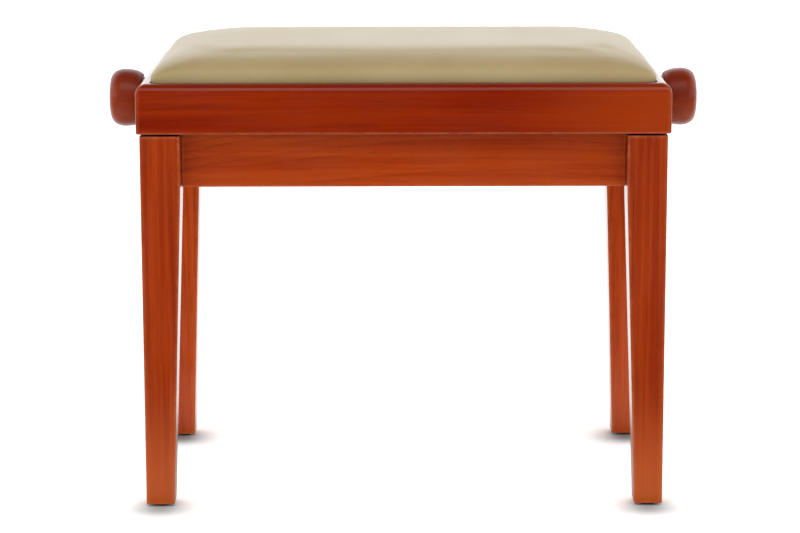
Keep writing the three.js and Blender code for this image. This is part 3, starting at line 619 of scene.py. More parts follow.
@dataclass(frozen=True)
class StudioFloor:
    """Pale sweep that shows white to the eye, takes the bench's shadow and ends in front.

    Light bounces off it as off pale paper. The eye sees it brighter than that, so that it is
    white wherever the bench leaves most of the light. Just before each foot a painted contact
    shadow darkens the paper softly, by a bell curve of the distance. Rays that lacquer sends to
    the floor find it bright behind the bench and dim towards the front.
    """

    name: str
    paper: float
    seen: float
    near_span: tuple[float, float] = (-0.75, -0.10)
    far_span: tuple[float, float] = (0.1, 0.3)
    front_shade: float = 0.66
    rear_shade: float = 0.80
    reach: float = 0.031
    forward: float = 0.022
    far_gain: float = 0.4
    near_dim: float = 0.55
    far_dim: float = 0.45
    tint: Colour = (0.96, 1.0, 1.0)

    def make(self) -> bpy.types.Material:
        """Builds the paper's brightness for each kind of ray."""
        graph = SurfaceGraph(self.name)
        place = graph.place()
        depth = graph.axes(place)[1]
        path = graph.node("LightPath").outputs
        mirrored = path["Is Glossy Ray"]
        eye = graph.work("MAXIMUM", path["Is Camera Ray"], path["Is Transmission Ray"])
        bright = graph.plus(self.paper, graph.times(eye, self.seen - self.paper))
        bright = graph.times(bright, graph.span(graph.noise(place, 3, 2), 0.3, 0.7, 0.98, 1.0))
        near = graph.span(depth, *self.near_span, self.near_dim, 0)
        far = graph.span(depth, *self.far_span, self.far_dim, 0)
        bright = graph.times(bright, graph.minus(1.02, graph.times(mirrored, graph.plus(near, far))))
        # Painted contact shadow round each foot.
        for corner in Corner:
            bright = graph.times(bright, self.contact(graph, place, corner))
        beyond = graph.span(depth, *self.far_span, 0, self.far_gain)
        colour = graph.node("VectorMath", operation="SCALE")
        graph.feed(colour.inputs[0], self.tint)
        gain = graph.plus(1.0, graph.times(mirrored, beyond))
        graph.feed(colour.inputs["Scale"], graph.times(bright, gain))
        graph.set(Base_Color=colour.outputs[0], Roughness=0.9, Specular_IOR_Level=0.1)
        return graph.material

    def contact(self, graph: SurfaceGraph, place: Socket, corner: Corner) -> Socket:
        """Painted contact shadow round one foot, as the share of the light left."""
        low, high = corners_of(f"foot_glide_{corner.name.lower()}")
        x, y = ((low + high) / 2)[:2]
        distance = graph.node("VectorMath", operation="DISTANCE")
        graph.feed(distance.inputs[0], place)
        graph.feed(distance.inputs[1], (x, y - self.forward, 0))
        steps = graph.work("DIVIDE", distance.outputs["Value"], self.reach)
        bell = graph.work("EXPONENT", graph.times(graph.times(steps, steps), -1.0))
        front = corner in (Corner.FRONT_LEFT, Corner.FRONT_RIGHT)
        return graph.minus(1.0, graph.times(bell, self.front_shade if front else self.rear_shade))


# The front legs pale towards the foot: painted light, the white floor's bounce.
LEG_CHERRY = StainedWood(
    "leg_stain", deep=(0.24, 0.016, 0.001), warm=(0.40, 0.045, 0.003), line=(0.13, 0.007, 0.0005),
    wear_and_painted_light=(0.62, 0.17, 0.06), ring_pitch=0.008, bow=0.05, ring_share=0.5, streak_share=0.4,
    pale_end=(0.66, 0.12, 0.006), pale_end_share=0.5,
)
# Lighter copy of the leg stain for the rear legs: painted light that makes up for the shade behind the apron
# and seat. Its slight paling towards the foot is painted floor bounce too.
REAR_LEG_PAINTED_LIGHT_CHERRY = StainedWood(
    "rear_leg_painted_light_stain", deep=(0.34, 0.030, 0.003), warm=(0.54, 0.074, 0.009), line=(0.19, 0.013, 0.001),
    wear_and_painted_light=(0.62, 0.17, 0.06), ring_pitch=0.008, bow=0.05, ring_share=0.4, streak_share=0.35,
    pale_end_share=0.1,
)
APRON_CHERRY = StainedWood(
    "apron_stain", deep=(0.30, 0.025, 0.001), warm=(0.47, 0.059, 0.005), line=(0.16, 0.010, 0.0005),
    wear_and_painted_light=(0.60, 0.16, 0.06), ring_pitch=0.011, bow=0.32, ring_share=0.6, stripe_pitch=0.009,
)
# The seat rails grow paler towards one end of their grain.
SEAT_CHERRY = StainedWood(
    "seat_stain", deep=(0.20, 0.009, 0.0003), warm=(0.30, 0.023, 0.0005), line=(0.12, 0.004, 0.0002),
    wear_and_painted_light=(0.50, 0.13, 0.05), ring_pitch=0.012, bow=0.16, ring_share=0.4, stripe_pitch=0.010,
    pale_end=(0.42, 0.050, 0.003), pale_end_share=0.55, pale_end_span=(0.27, 0.08), roughness=0.11,
)
KNOB_CHERRY = StainedWood(
    "knob_stain", deep=(0.20, 0.017, 0.003), warm=(0.32, 0.036, 0.006), line=(0.14, 0.012, 0.003),
    wear_and_painted_light=(0.45, 0.13, 0.055), ring_pitch=0.009, bow=0.3, ring_share=0.2, stripe_pitch=0.012,
    streak_share=0.2, roughness=0.27, specular=0.3,
)
BEIGE = Leatherette(
    "beige_leatherette", body=(0.41, 0.305, 0.134), rubbed=(0.455, 0.345, 0.164),
    crease=(0.315, 0.223, 0.094),
)
TRACK_STEEL = Metal("track_steel", (0.42, 0.43, 0.45), (0.25, 0.25, 0.26), 0.42)
ZINC = Metal("zinc_plate", (0.62, 0.63, 0.64), (0.42, 0.43, 0.42), 0.3, (500, 500, 60))
BRASS = Metal("turned_brass", (0.60, 0.42, 0.15), (0.42, 0.28, 0.09), 0.3, (900, 60, 60))
BEECH = RawWood("raw_beech", (0.58, 0.38, 0.19), (0.40, 0.23, 0.10), (420, 12, 420))
PLYWOOD = RawWood("poplar_ply", (0.62, 0.47, 0.27), (0.46, 0.31, 0.15), (9, 260, 260))
DARK_PLASTIC = Plastic("glide_plastic", (0.035, 0.02, 0.014), (0.09, 0.06, 0.045))
END_GRAIN = RawWood("stained_end_grain", (0.07, 0.012, 0.004), (0.03, 0.005, 0.002), (900, 900, 60))
FLOOR = StudioFloor("studio_floor", 1.2, 1.75)

_made: dict[str, bpy.types.Material] = {}


def material_of(finish: Finish) -> bpy.types.Material:
    """Material of a finish, built the first time it is asked for."""
    if finish.name not in _made:
        _made[finish.name] = finish.make()
    return _made[finish.name]


def dress(piece: bpy.types.Object, *finishes: Finish) -> None:
    """Gives a piece its finishes, the first of them all over."""
    piece.data.materials.clear()
    for finish in finishes:
        piece.data.materials.append(material_of(finish))


def stand_in(piece: bpy.types.Object, body: str, finish: Finish, nodes: Iterable[str]) -> None:
    """Dresses a new piece, lets it ride on a body and stand for the nodes it replaces.

    Args:
        piece: the finished object.
        body: moving body that carries it.
        finish: what its surface is made of.
        nodes: frame nodes that it stands for.
    """
    dress(piece, finish)
    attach(piece, body)
    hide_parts(*nodes)
    log.info("%s rides on %s", piece.name, body)


def corners_of(node: str) -> tuple[np.ndarray, np.ndarray]:
    """Lowest and highest corners of a frame node as arrays."""
    low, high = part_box(node)
    return np.array(low), np.array(high)


# ------------------------------------------------------------------ timber


@dataclass
class TimberFrame:
    """Four tapered legs and the four apron boards between them."""

    arris: float = 1.6 * MM
    end_arris: float = 0.8 * MM
    foot_width: float = 29.5 * MM
    board_arris: float = 1.4 * MM
    wear_reach: float = 2.2
    arc_steps: int = 6

    def build(self) -> None:
        """Makes and dresses every leg and apron."""
        for corner in Corner:
            self.leg(corner)
        for run in Run:
            self.apron(run)

    def stations(self, length: float, arris: float, reach: float) -> tuple[np.ndarray, np.ndarray]:
        """Places along a timber and how far each end draws in.

        The draw-in follows a quarter circle over the last arris, from one radius at the end
        face to nothing.

        Args:
            length: from end face to end face.
            arris: radius of the end's edge.
            reach: how far an arris's wear spreads, where a ring closes the rubbed strip.

        Returns:
            Distances from the first end, and the draw-in at each.
        """
        angles = np.linspace(0, QUARTER, 4)
        near = arris * (1 - np.cos(angles))
        inset = arris * (1 - np.sin(angles))
        middle = np.concatenate([[reach], np.linspace(0, length, 26)[1:-1], [length - reach]])
        places = np.concatenate([near, middle, length - near[::-1]])
        return places, np.concatenate([inset, np.zeros(len(middle)), inset[::-1]])

    def edge_value(self, rings: np.ndarray, low: np.ndarray, high: np.ndarray, reach: float) -> np.ndarray:
        """How near each point lies to two faces at once, from 0 on a flat to 1 on an arris.

        Args:
            rings: points in the timber's own axes, shape (rings, points, 3).
            low: lowest corner at each ring, shape (rings, 1, 3).
            high: highest corner at each ring.
            reach: how far an arris's wear spreads.

        Returns:
            One value for each point, ring by ring.
        """
        depth = np.minimum(rings - low, high - rings)
        near = np.sort(np.clip(1 - depth / reach, 0, 1), axis=-1)
        return near[..., 1].ravel()

    def leg(self, corner: Corner) -> None:
        """Square leg whose two inner faces taper from the apron's lower edge to the foot.

        It is drawn for the front left corner, with its outer faces towards -X and -Y, and then
        turned into place.
        """
        node = f"leg_{corner.name.lower()}"
        low, high = corners_of(node)
        apron_low = corners_of("apron_front")[0][2]
        width, height = high[0] - low[0], high[2] - low[2]
        reach = self.wear_reach * self.arris
        places, inset = self.stations(height, self.end_arris, reach)
        taper_end = apron_low - low[2]
        shrink = (width - self.foot_width) * np.clip(1 - places / taper_end, 0, 1)
        size = width - shrink
        loops = [
            round_loop(side / 2 - draw, side / 2 - draw, self.arris, self.arc_steps, 4) + side / 2
            for side, draw in zip(size, inset)
        ]
        rings = stacked(np.stack(loops), places)
        surface = skin(rings)
        bottom = np.zeros((len(places), 1, 3))
        top = np.stack([size, size, np.full(len(size), height)], axis=-1)[:, None, :]
        edge = self.edge_value(rings, bottom, top, reach)
        grain = surface.points[:, [2, 0, 1]] - np.array([height, width, width]) / 2
        surface.mark(grain, edge, 1.0 + corner.value)
        front_low = corners_of("leg_front_left")[0]
        piece = surface.moved(front_low[0], front_low[1], low[2])
        piece = self.placed(piece, corner, front_low)
        timber = piece.to_object(f"{node}_tapered")
        # The rear legs take the lighter copy, painted light for the shade they stand in.
        stain = REAR_LEG_PAINTED_LIGHT_CHERRY if "rear" in node else LEG_CHERRY
        stand_in(timber, "base", stain, [node])
        timber.data.materials.append(material_of(END_GRAIN))
        for face in timber.data.polygons[-2:]:
            face.material_index = 1

    def placed(self, surface: Surface, corner: Corner, front_low: np.ndarray) -> Surface:
        """Turns a front left timber about the bench's middle to another corner.

        A quarter turn swaps the half width and the half depth, so the surface is first shifted
        by their difference.
        """
        half_x, half_y = -front_low[0], -front_low[1]
        if corner.value % 2:
            surface = surface.moved(half_x - half_y, half_y - half_x)
        return surface.turned(corner.value)

    def apron(self, run: Run) -> None:
        """Board between two legs with softened long edges."""
        node = f"apron_{run.name.lower()}"
        low, high = corners_of(node)
        size = high - low
        along = 0 if run in (Run.FRONT, Run.REAR) else 1
        length, thickness, height = size[along], size[1 - along], size[2]
        reach = self.wear_reach * self.board_arris
        places, inset = self.stations(length, self.end_arris, reach)
        loops = [
            round_loop(thickness / 2 - draw, height / 2 - draw, self.board_arris, self.arc_steps, 4)
            for draw in inset
        ]
        section = np.stack(loops)
        across, upright = section[..., 0], section[..., 1]
        stations = np.broadcast_to(places[:, None] - length / 2, across.shape)
        local = np.stack([stations, across, upright], axis=-1)
        if run in (Run.RIGHT, Run.LEFT):
            local = np.stack([-across, stations, upright], axis=-1)
        surface = skin(local)
        half = size / 2
        edge = self.edge_value(local, -half[None, None, :], half[None, None, :], reach)
        surface.mark(surface.points[:, [along, 2, 1 - along]], edge, 11.0 + run.value)
        middle = (low + high) / 2
        piece = surface.moved(*middle).to_object(f"{node}_board")
        stand_in(piece, "base", APRON_CHERRY, [node])


@dataclass
class SeatFrame:
    """Four mitred rails with a quarter round along the top and a rebate for the cushion."""

    round_radius: float = 10.5 * MM
    lower_arris: float = 1.6 * MM
    inner_arris: float = 0.8 * MM
    shelf: float = 8 * MM
    corner_radius: float = 2.6 * MM
    inner_radius: float = 0.2 * MM
    mitre_gap: float = 0.1 * MM
    end_wear: float = 2 * MM
    lower_wear: float = 0.8
    inner_wear: float = 0.5
    mitre_wear: float = 0.35
    # Painted shade over the quarter round, lip and ledge beside the cushion.
    painted_shading: float = -0.7

    def build(self) -> None:
        """Makes and dresses the four rails."""
        for run in Run:
            self.rail(run)

    def section(self, height: float, thickness: float, panel: float) -> tuple[np.ndarray, np.ndarray]:
        """Cross-section of a rail, clockwise seen with the outer face to the left.

        It runs up the outer face, over the quarter round, down into the rebate, along the ledge,
        down the inner face and back along the bottom. Shade is painted darker over the quarter
        round, the lip and the ledge, towards the cushion.

        Args:
            height: of the rail.
            thickness: of the rail.
            panel: depth of the rebate.

        Returns:
            Points of (distance inwards, height) and an edge value for each.
        """
        wall = thickness - self.shelf
        big, small, tiny = self.round_radius, self.lower_arris, self.inner_arris
        outer = arc((small, small), small, 270, 180, 5)
        face = np.stack([np.zeros(6), np.linspace(1.6 * small, height - big - 0.3 * small, 6)], axis=-1)
        crown = arc((big, height - big), big, 180, 90, 14)
        lip = arc((wall - tiny, height - tiny), tiny, 90, 0, 3)
        ledge = np.array([[wall, height - panel], [thickness - tiny, height - panel]])
        inner_top = arc((thickness - tiny, height - panel - tiny), tiny, 90, 0, 3)
        inner_bottom = arc((thickness - tiny, tiny), tiny, 0, -90, 3)
        parts = [outer, face, crown, lip, ledge, inner_top, inner_bottom]
        # dark is painted shade over the quarter round, lip and ledge next to the cushion; the other values
        # are wear.
        dark, pale = self.painted_shading, self.inner_wear
        wear = [self.lower_wear, 0.0, 0.0, dark, dark, pale, pale]
        values = [np.full(len(part), value) for part, value in zip(parts, wear)]
        values[2] = np.linspace(0, dark, len(crown))
        return np.concatenate(parts), np.concatenate(values)

    def rail(self, run: Run) -> None:
        """Sweeps the section along one side and round to the mitre at each end.

        The plan corner is an eighth turn of an arc whose radius shrinks from the outer face to
        the inner one, so every height and depth meets the 45 degree mitre plane.
        """
        node = f"seat_rail_{run.name.lower()}"
        front_low, front_high = corners_of("seat_rail_front")
        side_low, side_high = corners_of("seat_rail_right")
        panel_low = corners_of("cushion_panel")[0]
        height = front_high[2] - front_low[2]
        thickness = front_high[1] - front_low[1]
        profile, edge = self.section(height, thickness, front_high[2] - panel_low[2] + self.mitre_gap)
        along = front_high[0] - front_low[0] if run.value % 2 == 0 else side_high[1] - side_low[1]
        across = -front_low[1] if run.value % 2 == 0 else side_high[0]
        half = along / 2 + self.mitre_gap
        inward, upright = profile[:, 0], profile[:, 1]
        radius = self.corner_radius + (self.inner_radius - self.corner_radius) * inward / thickness
        centre = inward + radius
        sweep = np.radians(np.linspace(45, 0, 6))[:, None]
        bend_x = half - centre - self.mitre_gap + radius * np.sin(sweep)
        bend_y = centre - radius * np.cos(sweep)
        straight = half - centre - self.mitre_gap
        guard = (straight - self.end_wear)[None, :]
        middle = np.concatenate([guard, np.linspace(1, -1, 18)[1:-1, None] * straight, -guard])
        stations = np.concatenate([bend_x, middle, -bend_x[::-1]])
        depth = np.concatenate([bend_y, np.broadcast_to(inward, middle.shape), bend_y[::-1]])
        rise = np.broadcast_to(upright, stations.shape)
        local = np.stack([stations, depth - across, rise + front_low[2]], axis=-1)
        surface = skin(local)
        ends = np.abs(stations) > half - centre - 2 * self.mitre_gap
        centre = np.array([0, front_low[2] + height / 2, -across])
        edge = np.broadcast_to(edge, stations.shape)
        edge = np.where(ends, np.maximum(edge, self.mitre_wear), edge).ravel()
        surface.mark(surface.points[:, [0, 2, 1]] - centre, edge, 21.0 + run.value)
        piece = surface.turned(run.value).to_object(f"{node}_moulded")
        stand_in(piece, "seat", SEAT_CHERRY, [node])


# ------------------------------------------------------------------ turned pieces


@dataclass
class SpindleSet:
    """The two turned knobs and the threaded spindle between them."""

    face_radius: float = 24 * MM
    widest: float = 20 * MM
    squareness: float = 0.37
    bore: float = 6.3 * MM
    bore_depth: float = 24 * MM
    facets: int = 96
    lead: float = 4 * MM
    thread_depth: float = 0.9 * MM
    thread_facets: int = 32
    crest_share: float = 0.3
    flank_share: float = 0.35
    samples: int = 8
    end_step: float = 0.01 * MM
    # Painted shading on the knobs: darker above the axis, paler below it.
    painted_shading: float = 0.5
    right_tone: float = 0.12

    def build(self) -> None:
        """Makes the knobs and the spindle."""
        for end in End:
            self.knob(end)
        self.spindle()

    def knob(self, end: End) -> None:
        """Barrel-shaped knob, a little smaller towards the seat and rounded over outside.

        From the flat face the radius swells along a quarter sine to the widest station. From
        there it falls as a power of a cosine, which is a soft shoulder and a domed end. Shade is
        painted darker on the top and light is painted paler on the underside.
        """
        node = f"knob_{end.name.lower()}"
        low, high = corners_of(node)
        length = high[0] - low[0]
        full = (high[2] - low[2]) / 2
        swell = np.linspace(0, QUARTER, 28)
        rise = self.face_radius + (full - self.face_radius) * np.sin(swell)
        fall_angle = np.linspace(0, QUARTER, 40)[1:-1]
        fall = full * np.cos(fall_angle) ** self.squareness
        arris = arc((0.8 * MM, self.face_radius - 0.8 * MM), 0.8 * MM, 180, 90, 3)
        hole = [0.3 * self.bore, self.bore, self.bore, self.bore + 0.6 * MM]
        radii = np.concatenate([hole, arris[:, 1], rise[3:], fall])
        belly = self.widest * (1 - np.cos(swell))[3:]
        shoulder = self.widest + (length - self.widest) * np.sin(fall_angle)
        hole = [self.bore_depth, self.bore_depth, 0.5 * MM, 0]
        stations = np.concatenate([hole, arris[:, 0], belly, shoulder])
        surface = turned_along_x(stations, radii, self.facets)
        tone = self.right_tone if end is End.RIGHT else 0.0
        # Painted shade above the axis and painted light below it; the right knob's tone is a little paler
        # overall.
        edge = tone - self.painted_shading * surface.points[:, 2] / full
        surface.mark(surface.points.copy(), edge, 31.0 + end.value)
        place = low[0]
        if end is End.LEFT:
            surface, place = surface.turned(2), high[0]
        piece = surface.moved(place, 0, (low[2] + high[2]) / 2).to_object(f"{node}_turned")
        stand_in(piece, "spindle", KNOB_CHERRY, [node])

    def spindle(self) -> None:
        """Threaded rod with its thrust flange.

        Where the thread is cut, the radius drops by a trapezoid wave of the turn count, which is
        the station over the lead less the share of a turn round the rod.
        """
        low, high = corners_of("screw_spindle")
        axis = (low[2] + high[2]) / 2
        bar_low = corners_of("thrust_bar")[0][0]
        flange_radius = (high[2] - low[2]) / 2
        collar_low, collar_high = corners_of("thrust_collar")
        radius = self.bore - 0.3 * MM
        flange_end = bar_low - 0.3 * MM
        flange_start = flange_end - (collar_high[0] - collar_low[0])
        thread_start = collar_high[0] + 2 * MM
        thread_end = corners_of("spindle_bushing_right")[0][0] - 6 * MM
        count = int((thread_end - thread_start) / self.lead * self.samples)
        thread = np.linspace(thread_start, thread_end, count)
        flange = [flange_start, flange_start, flange_end, flange_end]
        head = [low[0], low[0] + self.end_step, *flange, thread_start - 1 * MM]
        head_radii = [radius * 0.5, radius, radius, flange_radius, flange_radius, radius, radius]
        tail = [thread_end + 1 * MM, high[0] - self.end_step, high[0]]
        tail_radii = [radius, radius, radius * 0.5]
        turns = thread[:, None] / self.lead - np.arange(self.thread_facets) / self.thread_facets
        wave = np.abs((turns % 1) * 2 - 1)
        groove = np.clip((wave - self.crest_share) / self.flank_share, 0, 1)
        fade = np.clip(np.minimum(thread - thread_start, thread_end - thread) / self.lead, 0, 1)[:, None]
        cut = radius - self.thread_depth * groove * fade
        plain = [np.broadcast_to(np.array(part)[:, None], (len(part), self.thread_facets))
                 for part in (head_radii, tail_radii)]
        stations = np.concatenate([head, thread, tail])
        surface = turned_along_x(stations, np.concatenate([plain[0], cut, plain[1]]), self.thread_facets)
        piece = surface.moved(0, 0, axis).to_object("spindle_threaded", 30)
        stand_in(piece, "spindle", ZINC, ["screw_spindle"])


@dataclass
class Glides:
    """Dark nail-on glides under the legs."""

    rim: float = 0.9 * MM
    facets: int = 48

    def build(self) -> None:
        """Makes a glide for each leg."""
        for corner in Corner:
            self.glide(corner)

    def glide(self, corner: Corner) -> None:
        """Shallow disc with a rounded rim, turned upright from a body of revolution."""
        node = f"foot_glide_{corner.name.lower()}"
        low, high = corners_of(node)
        foot = corners_of(f"leg_{corner.name.lower()}")[0][2]
        radius = (high[0] - low[0]) / 2
        height = foot - low[2] - 0.1 * MM
        rim = arc((self.rim, radius - self.rim), self.rim, 180, 90, 6)
        stations = np.concatenate([[0, 0], rim[:, 0], [height - 0.3 * MM, height, height]])
        radii = np.concatenate(
            [[0.3 * radius, 0.75 * radius], rim[:, 1], [radius, radius - 0.3 * MM, 0.3 * radius]]
        )
        surface = turned_along_x(stations, radii, self.facets)
        upright = surface.points[:, [1, 2, 0]]
        middle = (low + high) / 2
        disc = Surface(upright, surface.faces, {}).moved(middle[0], middle[1], low[2])
        piece = disc.to_object(f"{node}_moulded")
        stand_in(piece, "base", DARK_PLASTIC, [node])


# ------------------------------------------------------------------ cushion


@dataclass
class Cushion:
    """Leatherette cover pulled over foam, crowned and full at the edges."""

    corner_radius: float = 7 * MM
    corner_swell: float = 20 * MM
    swell_reach: float = 8 * MM
    corner_growth: float = 0.35
    corner_blend: float = 12 * MM
    overhang: float = 3.4 * MM
    overhang_rise: float = 3 * MM
    fullness: float = 5.8
    shrink: float = 0.8 * MM
    loops: int = 40
    voxel: float = 4.5 * MM
    pressure: float = 4.0
    frames: int = 20
    cap: float = 1.3 * MM
    held_rise: float = 4 * MM
    evening: int = 14

    def build(self) -> None:
        """Makes, inflates, smooths and dresses the cushion."""
        piece = self.shape().to_object("cushion_upholstered")
        self.remesh(piece)
        self.inflate(piece)
        self.finish(piece)
        stand_in(piece, "seat", BEIGE, ["cushion_cover", "cushion_foam"])

    def shape(self) -> Surface:
        """Crowned closed form before it is filled.

        Each loop is the base outline drawn in by an inset t. Its height is the crown times the
        square root of 1 - (1 - t/T)^p, where T is half the depth and p the fullness, so the
        sides start upright and the top levels out. The plan corners open quickly with t at
        first, as the swell times 1 - exp(-t/reach), and then steadily. They pass smoothly into
        half circles near the middle. Above the frame the sides reach out over its lip.
        """
        low, high = corners_of("cushion_cover")
        seat_top = corners_of("seat_rail_front")[1][2]
        half = (high - low) / 2 - self.shrink
        crown = high[2] - seat_top - self.shrink
        share = np.linspace(0, 0.98, self.loops) ** 2
        inset = share * half[1]
        rise = seat_top + crown * np.sqrt(1 - (1 - share) ** self.fullness)
        opened = self.corner_swell * (1 - np.exp(-inset / self.swell_reach)) + self.corner_growth * inset
        room = half[1] - inset - 1 * MM
        wanted = self.corner_radius + opened
        soft = self.corner_blend
        radius = np.clip(-soft * np.logaddexp(-wanted / soft, -room / soft), 0.5 * MM, room)
        out = self.overhang * np.tanh((rise - seat_top) / self.overhang_rise)
        skirt_inset = np.array([30 * MM, 10 * MM, 2 * MM, 0.5 * MM, 0])
        skirt_rise = np.array([0, 0, 0, 0.5 * MM, 3 * MM]) + low[2]
        inset = np.concatenate([skirt_inset, inset - out])
        rise = np.concatenate([skirt_rise, rise])
        radius = np.concatenate([np.full(5, self.corner_radius), radius])
        outline = [round_loop(half[0] - t, half[1] - t, r, 8, 24) for t, r in zip(inset, radius)]
        return skin(stacked(np.stack(outline), rise), Cap.FACE, Cap.POINT)

    def remesh(self, piece: bpy.types.Object) -> None:
        """Rebuilds the cover as even quads, so that it stretches alike all over."""
        modifier = piece.modifiers.new("even", "REMESH")
        modifier.mode = "VOXEL"
        modifier.voxel_size = self.voxel
        self.apply(piece)

    def apply(self, piece: bpy.types.Object) -> None:
        """Replaces the piece's mesh by its evaluated one and drops the modifiers."""
        depsgraph = bpy.context.evaluated_depsgraph_get()
        mesh = bpy.data.meshes.new_from_object(piece.evaluated_get(depsgraph))
        piece.modifiers.clear()
        piece.data = mesh

    def coordinates(self, mesh: bpy.types.Mesh) -> np.ndarray:
        """Points of a mesh as an array."""
        flat = np.empty(len(mesh.vertices) * 3, np.float32)
        mesh.vertices.foreach_get("co", flat)
        return flat.reshape(-1, 3).astype(float)

    def inflate(self, piece: bpy.types.Object) -> None:
        """Presses the cover out from inside as cloth, with the part below the frame's top held.

        No point moves further than the cap.
        """
        seat_top = corners_of("seat_rail_front")[1][2]
        start = self.coordinates(piece.data)
        held = piece.vertex_groups.new(name="held")
        below = np.nonzero(start[:, 2] < seat_top + self.held_rise)[0]
        held.add(below.tolist(), 1.0, "REPLACE")
        cloth = piece.modifiers.new("fill", "CLOTH")
        stiffness = {"tension": 30, "compression": 30, "shear": 12, "bending": 1.5}
        for kind, value in stiffness.items():
            setattr(cloth.settings, f"{kind}_stiffness", value)
        cloth.settings.quality = 6
        cloth.settings.mass = 0.25
        cloth.settings.use_pressure = True
        cloth.settings.uniform_pressure_force = self.pressure
        cloth.settings.effector_weights.gravity = 0
        cloth.settings.vertex_group_mass = "held"
        cloth.point_cache.frame_start = 1
        cloth.point_cache.frame_end = self.frames
        scene = bpy.context.scene
        for number in range(1, self.frames + 1):
            scene.frame_set(number)
        depsgraph = bpy.context.evaluated_depsgraph_get()
        filled = self.coordinates(piece.evaluated_get(depsgraph).data)
        shift = self.evened(piece.data, filled - start)
        reach = np.maximum(np.linalg.norm(shift, axis=1, keepdims=True), 1e-9)
        shift *= self.cap / reach * np.tanh(reach / self.cap)
        piece.modifiers.clear()
        piece.vertex_groups.clear()
        piece.data.vertices.foreach_set("co", (start + shift).astype(np.float32).ravel())
        scene.frame_set(1)
        log.info("cushion filled by up to %.1f mm", np.linalg.norm(shift, axis=1).max() / MM)

    def evened(self, mesh: bpy.types.Mesh, shift: np.ndarray) -> np.ndarray:
        """Averages each point's shift with its neighbours' several times, so that no fold is left."""
        pairs = np.empty(len(mesh.edges) * 2, np.int32)
        mesh.edges.foreach_get("vertices", pairs)
        near, far = np.concatenate([pairs.reshape(-1, 2), pairs.reshape(-1, 2)[:, ::-1]]).T
        count = len(shift)
        links = np.bincount(near, minlength=count)[:, None]
        for _ in range(self.evening):
            total = [np.bincount(near, shift[far, axis], count) for axis in range(3)]
            shift = (shift + np.stack(total, axis=-1)) / (1 + links)
        return shift

    def finish(self, piece: bpy.types.Object) -> None:
        """Relaxes the remeshed surface and subdivides it once."""
        smooth = piece.modifiers.new("relax", "SMOOTH")
        smooth.factor = 0.5
        smooth.iterations = 4
        fine = piece.modifiers.new("fine", "SUBSURF")
        fine.levels = 1
        fine.render_levels = 1
        self.apply(piece)
        piece.data.shade_smooth()


# ------------------------------------------------------------------ carried-over pieces


@dataclass
class LiftFittings:
    """Steel lift, raw battens and blocks that keep the frame's own meshes."""

    def build(self) -> None:
        """Dresses every frame node that still shows."""
        finishes = {
            "steel": TRACK_STEEL, "zinc_plated": ZINC, "brass": BRASS, "beech": BEECH, "plywood": PLYWOOD,
        }
        slots = {row["node"]: row["material_slot"] for row in frame["record"]["subparts"]}
        for name, node in frame["nodes"].items():
            if node.hide_render:
                continue
            dress(node, finishes[slots[name]])
            log.info("%s keeps its mesh", name)


# ------------------------------------------------------------------ studio


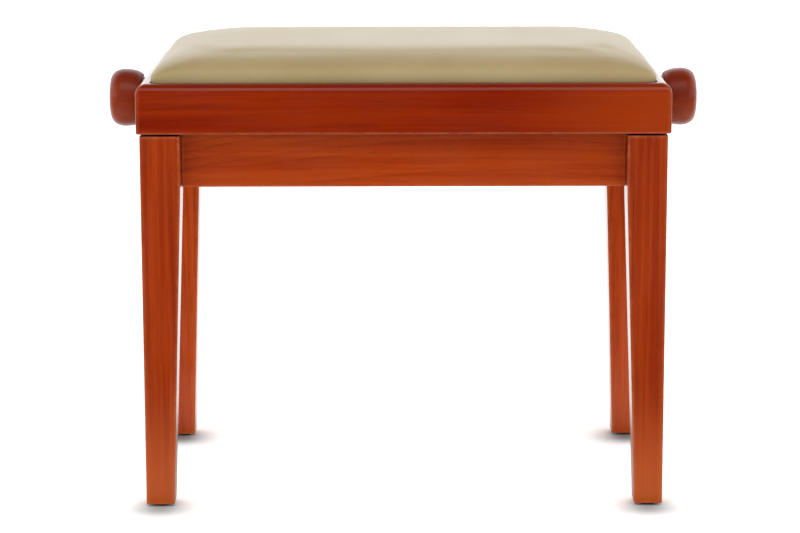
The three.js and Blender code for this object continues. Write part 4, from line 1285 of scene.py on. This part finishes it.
@dataclass
class Studio:
    """Pale floor, soft overhead light and a long-lens camera a little above the seat."""

    camera_place: Colour = (-0.00908, -2.88628, 0.78708)
    camera_pitch: float = 0.191945
    camera_turn: float = 0.00222
    camera_roll: float = 0.00198
    lens: float = 120.505
    lamp_place: Colour = (0, -1.35, 2.15)
    lamp_aim: Colour = (0, 0, 0.45)
    lamp_size: tuple[float, float] = (2.4, 1.2)
    lamp_power: float = 9.5
    floor_half: float = 30.0
    horizon: float = 1.4
    overhead: float = 0.5
    rear_wall: tuple[float, float] = (-0.1, 0.35)
    side_wall: tuple[float, float] = (0.55, 0.9)
    ceiling: tuple[float, float, float, float] = (0.6, 0.9, 1.0, 0.1)
    mirrored: float = 1.5
    darkest: float = 0.02

    def build(self) -> None:
        """Sets the stage round the bench."""
        self.floor()
        self.world()
        self.lamp()
        self.camera()
        bpy.context.scene.view_settings.view_transform = "Standard"

    def floor(self) -> None:
        """Large flat floor as one quad."""
        half = self.floor_half
        points = np.array([[-half, -half, 0], [half, -half, 0], [half, half, 0], [-half, half, 0]])
        piece = Surface(points, [[0, 1, 2, 3]], {}).to_object("floor")
        dress(piece, FLOOR)

    def world(self) -> None:
        """Even white surround that looks dark to lacquer overhead and on the camera's side.

        Matt surfaces take most light from the horizon and least from overhead. Shiny ones mirror
        white from the rear and the sides up to a height, and hardly anything from above and from
        the front, where a studio is dark.
        """
        world = bpy.data.worlds.new("studio")
        bpy.context.scene.world = world
        world.use_nodes = True
        world.cycles.sampling_method = "NONE"
        graph = Graph(world.node_tree)
        across, back, up = graph.axes(graph.node("TexCoord").outputs["Generated"])
        rear = graph.span(back, *self.rear_wall)
        side = graph.span(graph.work("ABSOLUTE", across), *self.side_wall)
        walls = graph.times(graph.work("MAXIMUM", rear, side), graph.span(up, *self.ceiling))
        white = graph.times(walls, self.mirrored)
        path = graph.node("LightPath").outputs
        spread, mirrored = path["Is Diffuse Ray"], path["Is Glossy Ray"]
        matt = graph.times(spread, graph.span(up, 0, 1, self.horizon, self.overhead))
        shiny = graph.times(mirrored, graph.work("MAXIMUM", white, self.darkest))
        others = graph.minus(1.0, graph.work("MAXIMUM", spread, mirrored))
        light = graph.node("Background")
        strength = graph.plus(graph.plus(matt, shiny), others)
        graph.fill(light, Color=(1, 1, 1, 1), Strength=strength)
        graph.feed(graph.node("OutputWorld").inputs["Surface"], light.outputs[0])

    def lamp(self) -> None:
        """Soft rectangular lamp turned towards the bench."""
        data = bpy.data.lights.new("softbox", "AREA")
        data.shape = "RECTANGLE"
        data.size, data.size_y = self.lamp_size
        data.energy = self.lamp_power
        lamp = linked("softbox", data)
        lamp.location = self.lamp_place
        forward = np.array(self.lamp_aim) - np.array(self.lamp_place)
        tilt = math.atan2(math.hypot(forward[0], forward[1]), -forward[2])
        lamp.rotation_euler = (tilt, 0, math.atan2(-forward[0], forward[1]))

    def camera(self) -> None:
        """Long-lens camera with no shift and no depth of field."""
        data = bpy.data.cameras.new("camera")
        data.sensor_width = 36
        data.lens = self.lens
        data.clip_end = 200
        camera = linked("camera", data)
        camera.location = self.camera_place
        camera.rotation_euler = (QUARTER - self.camera_pitch, self.camera_roll, -self.camera_turn)
        bpy.context.scene.camera = camera


def main() -> None:
    """Builds the bench in order, then its studio."""
    logging.basicConfig(level=logging.INFO, format="%(name)s: %(message)s")
    for part in (TimberFrame(), SeatFrame(), SpindleSet(), Glides(), Cushion(), LiftFittings(), Studio()):
        log.info("building %s", type(part).__name__)
        part.build()


if __name__ == "__main__":
    main()
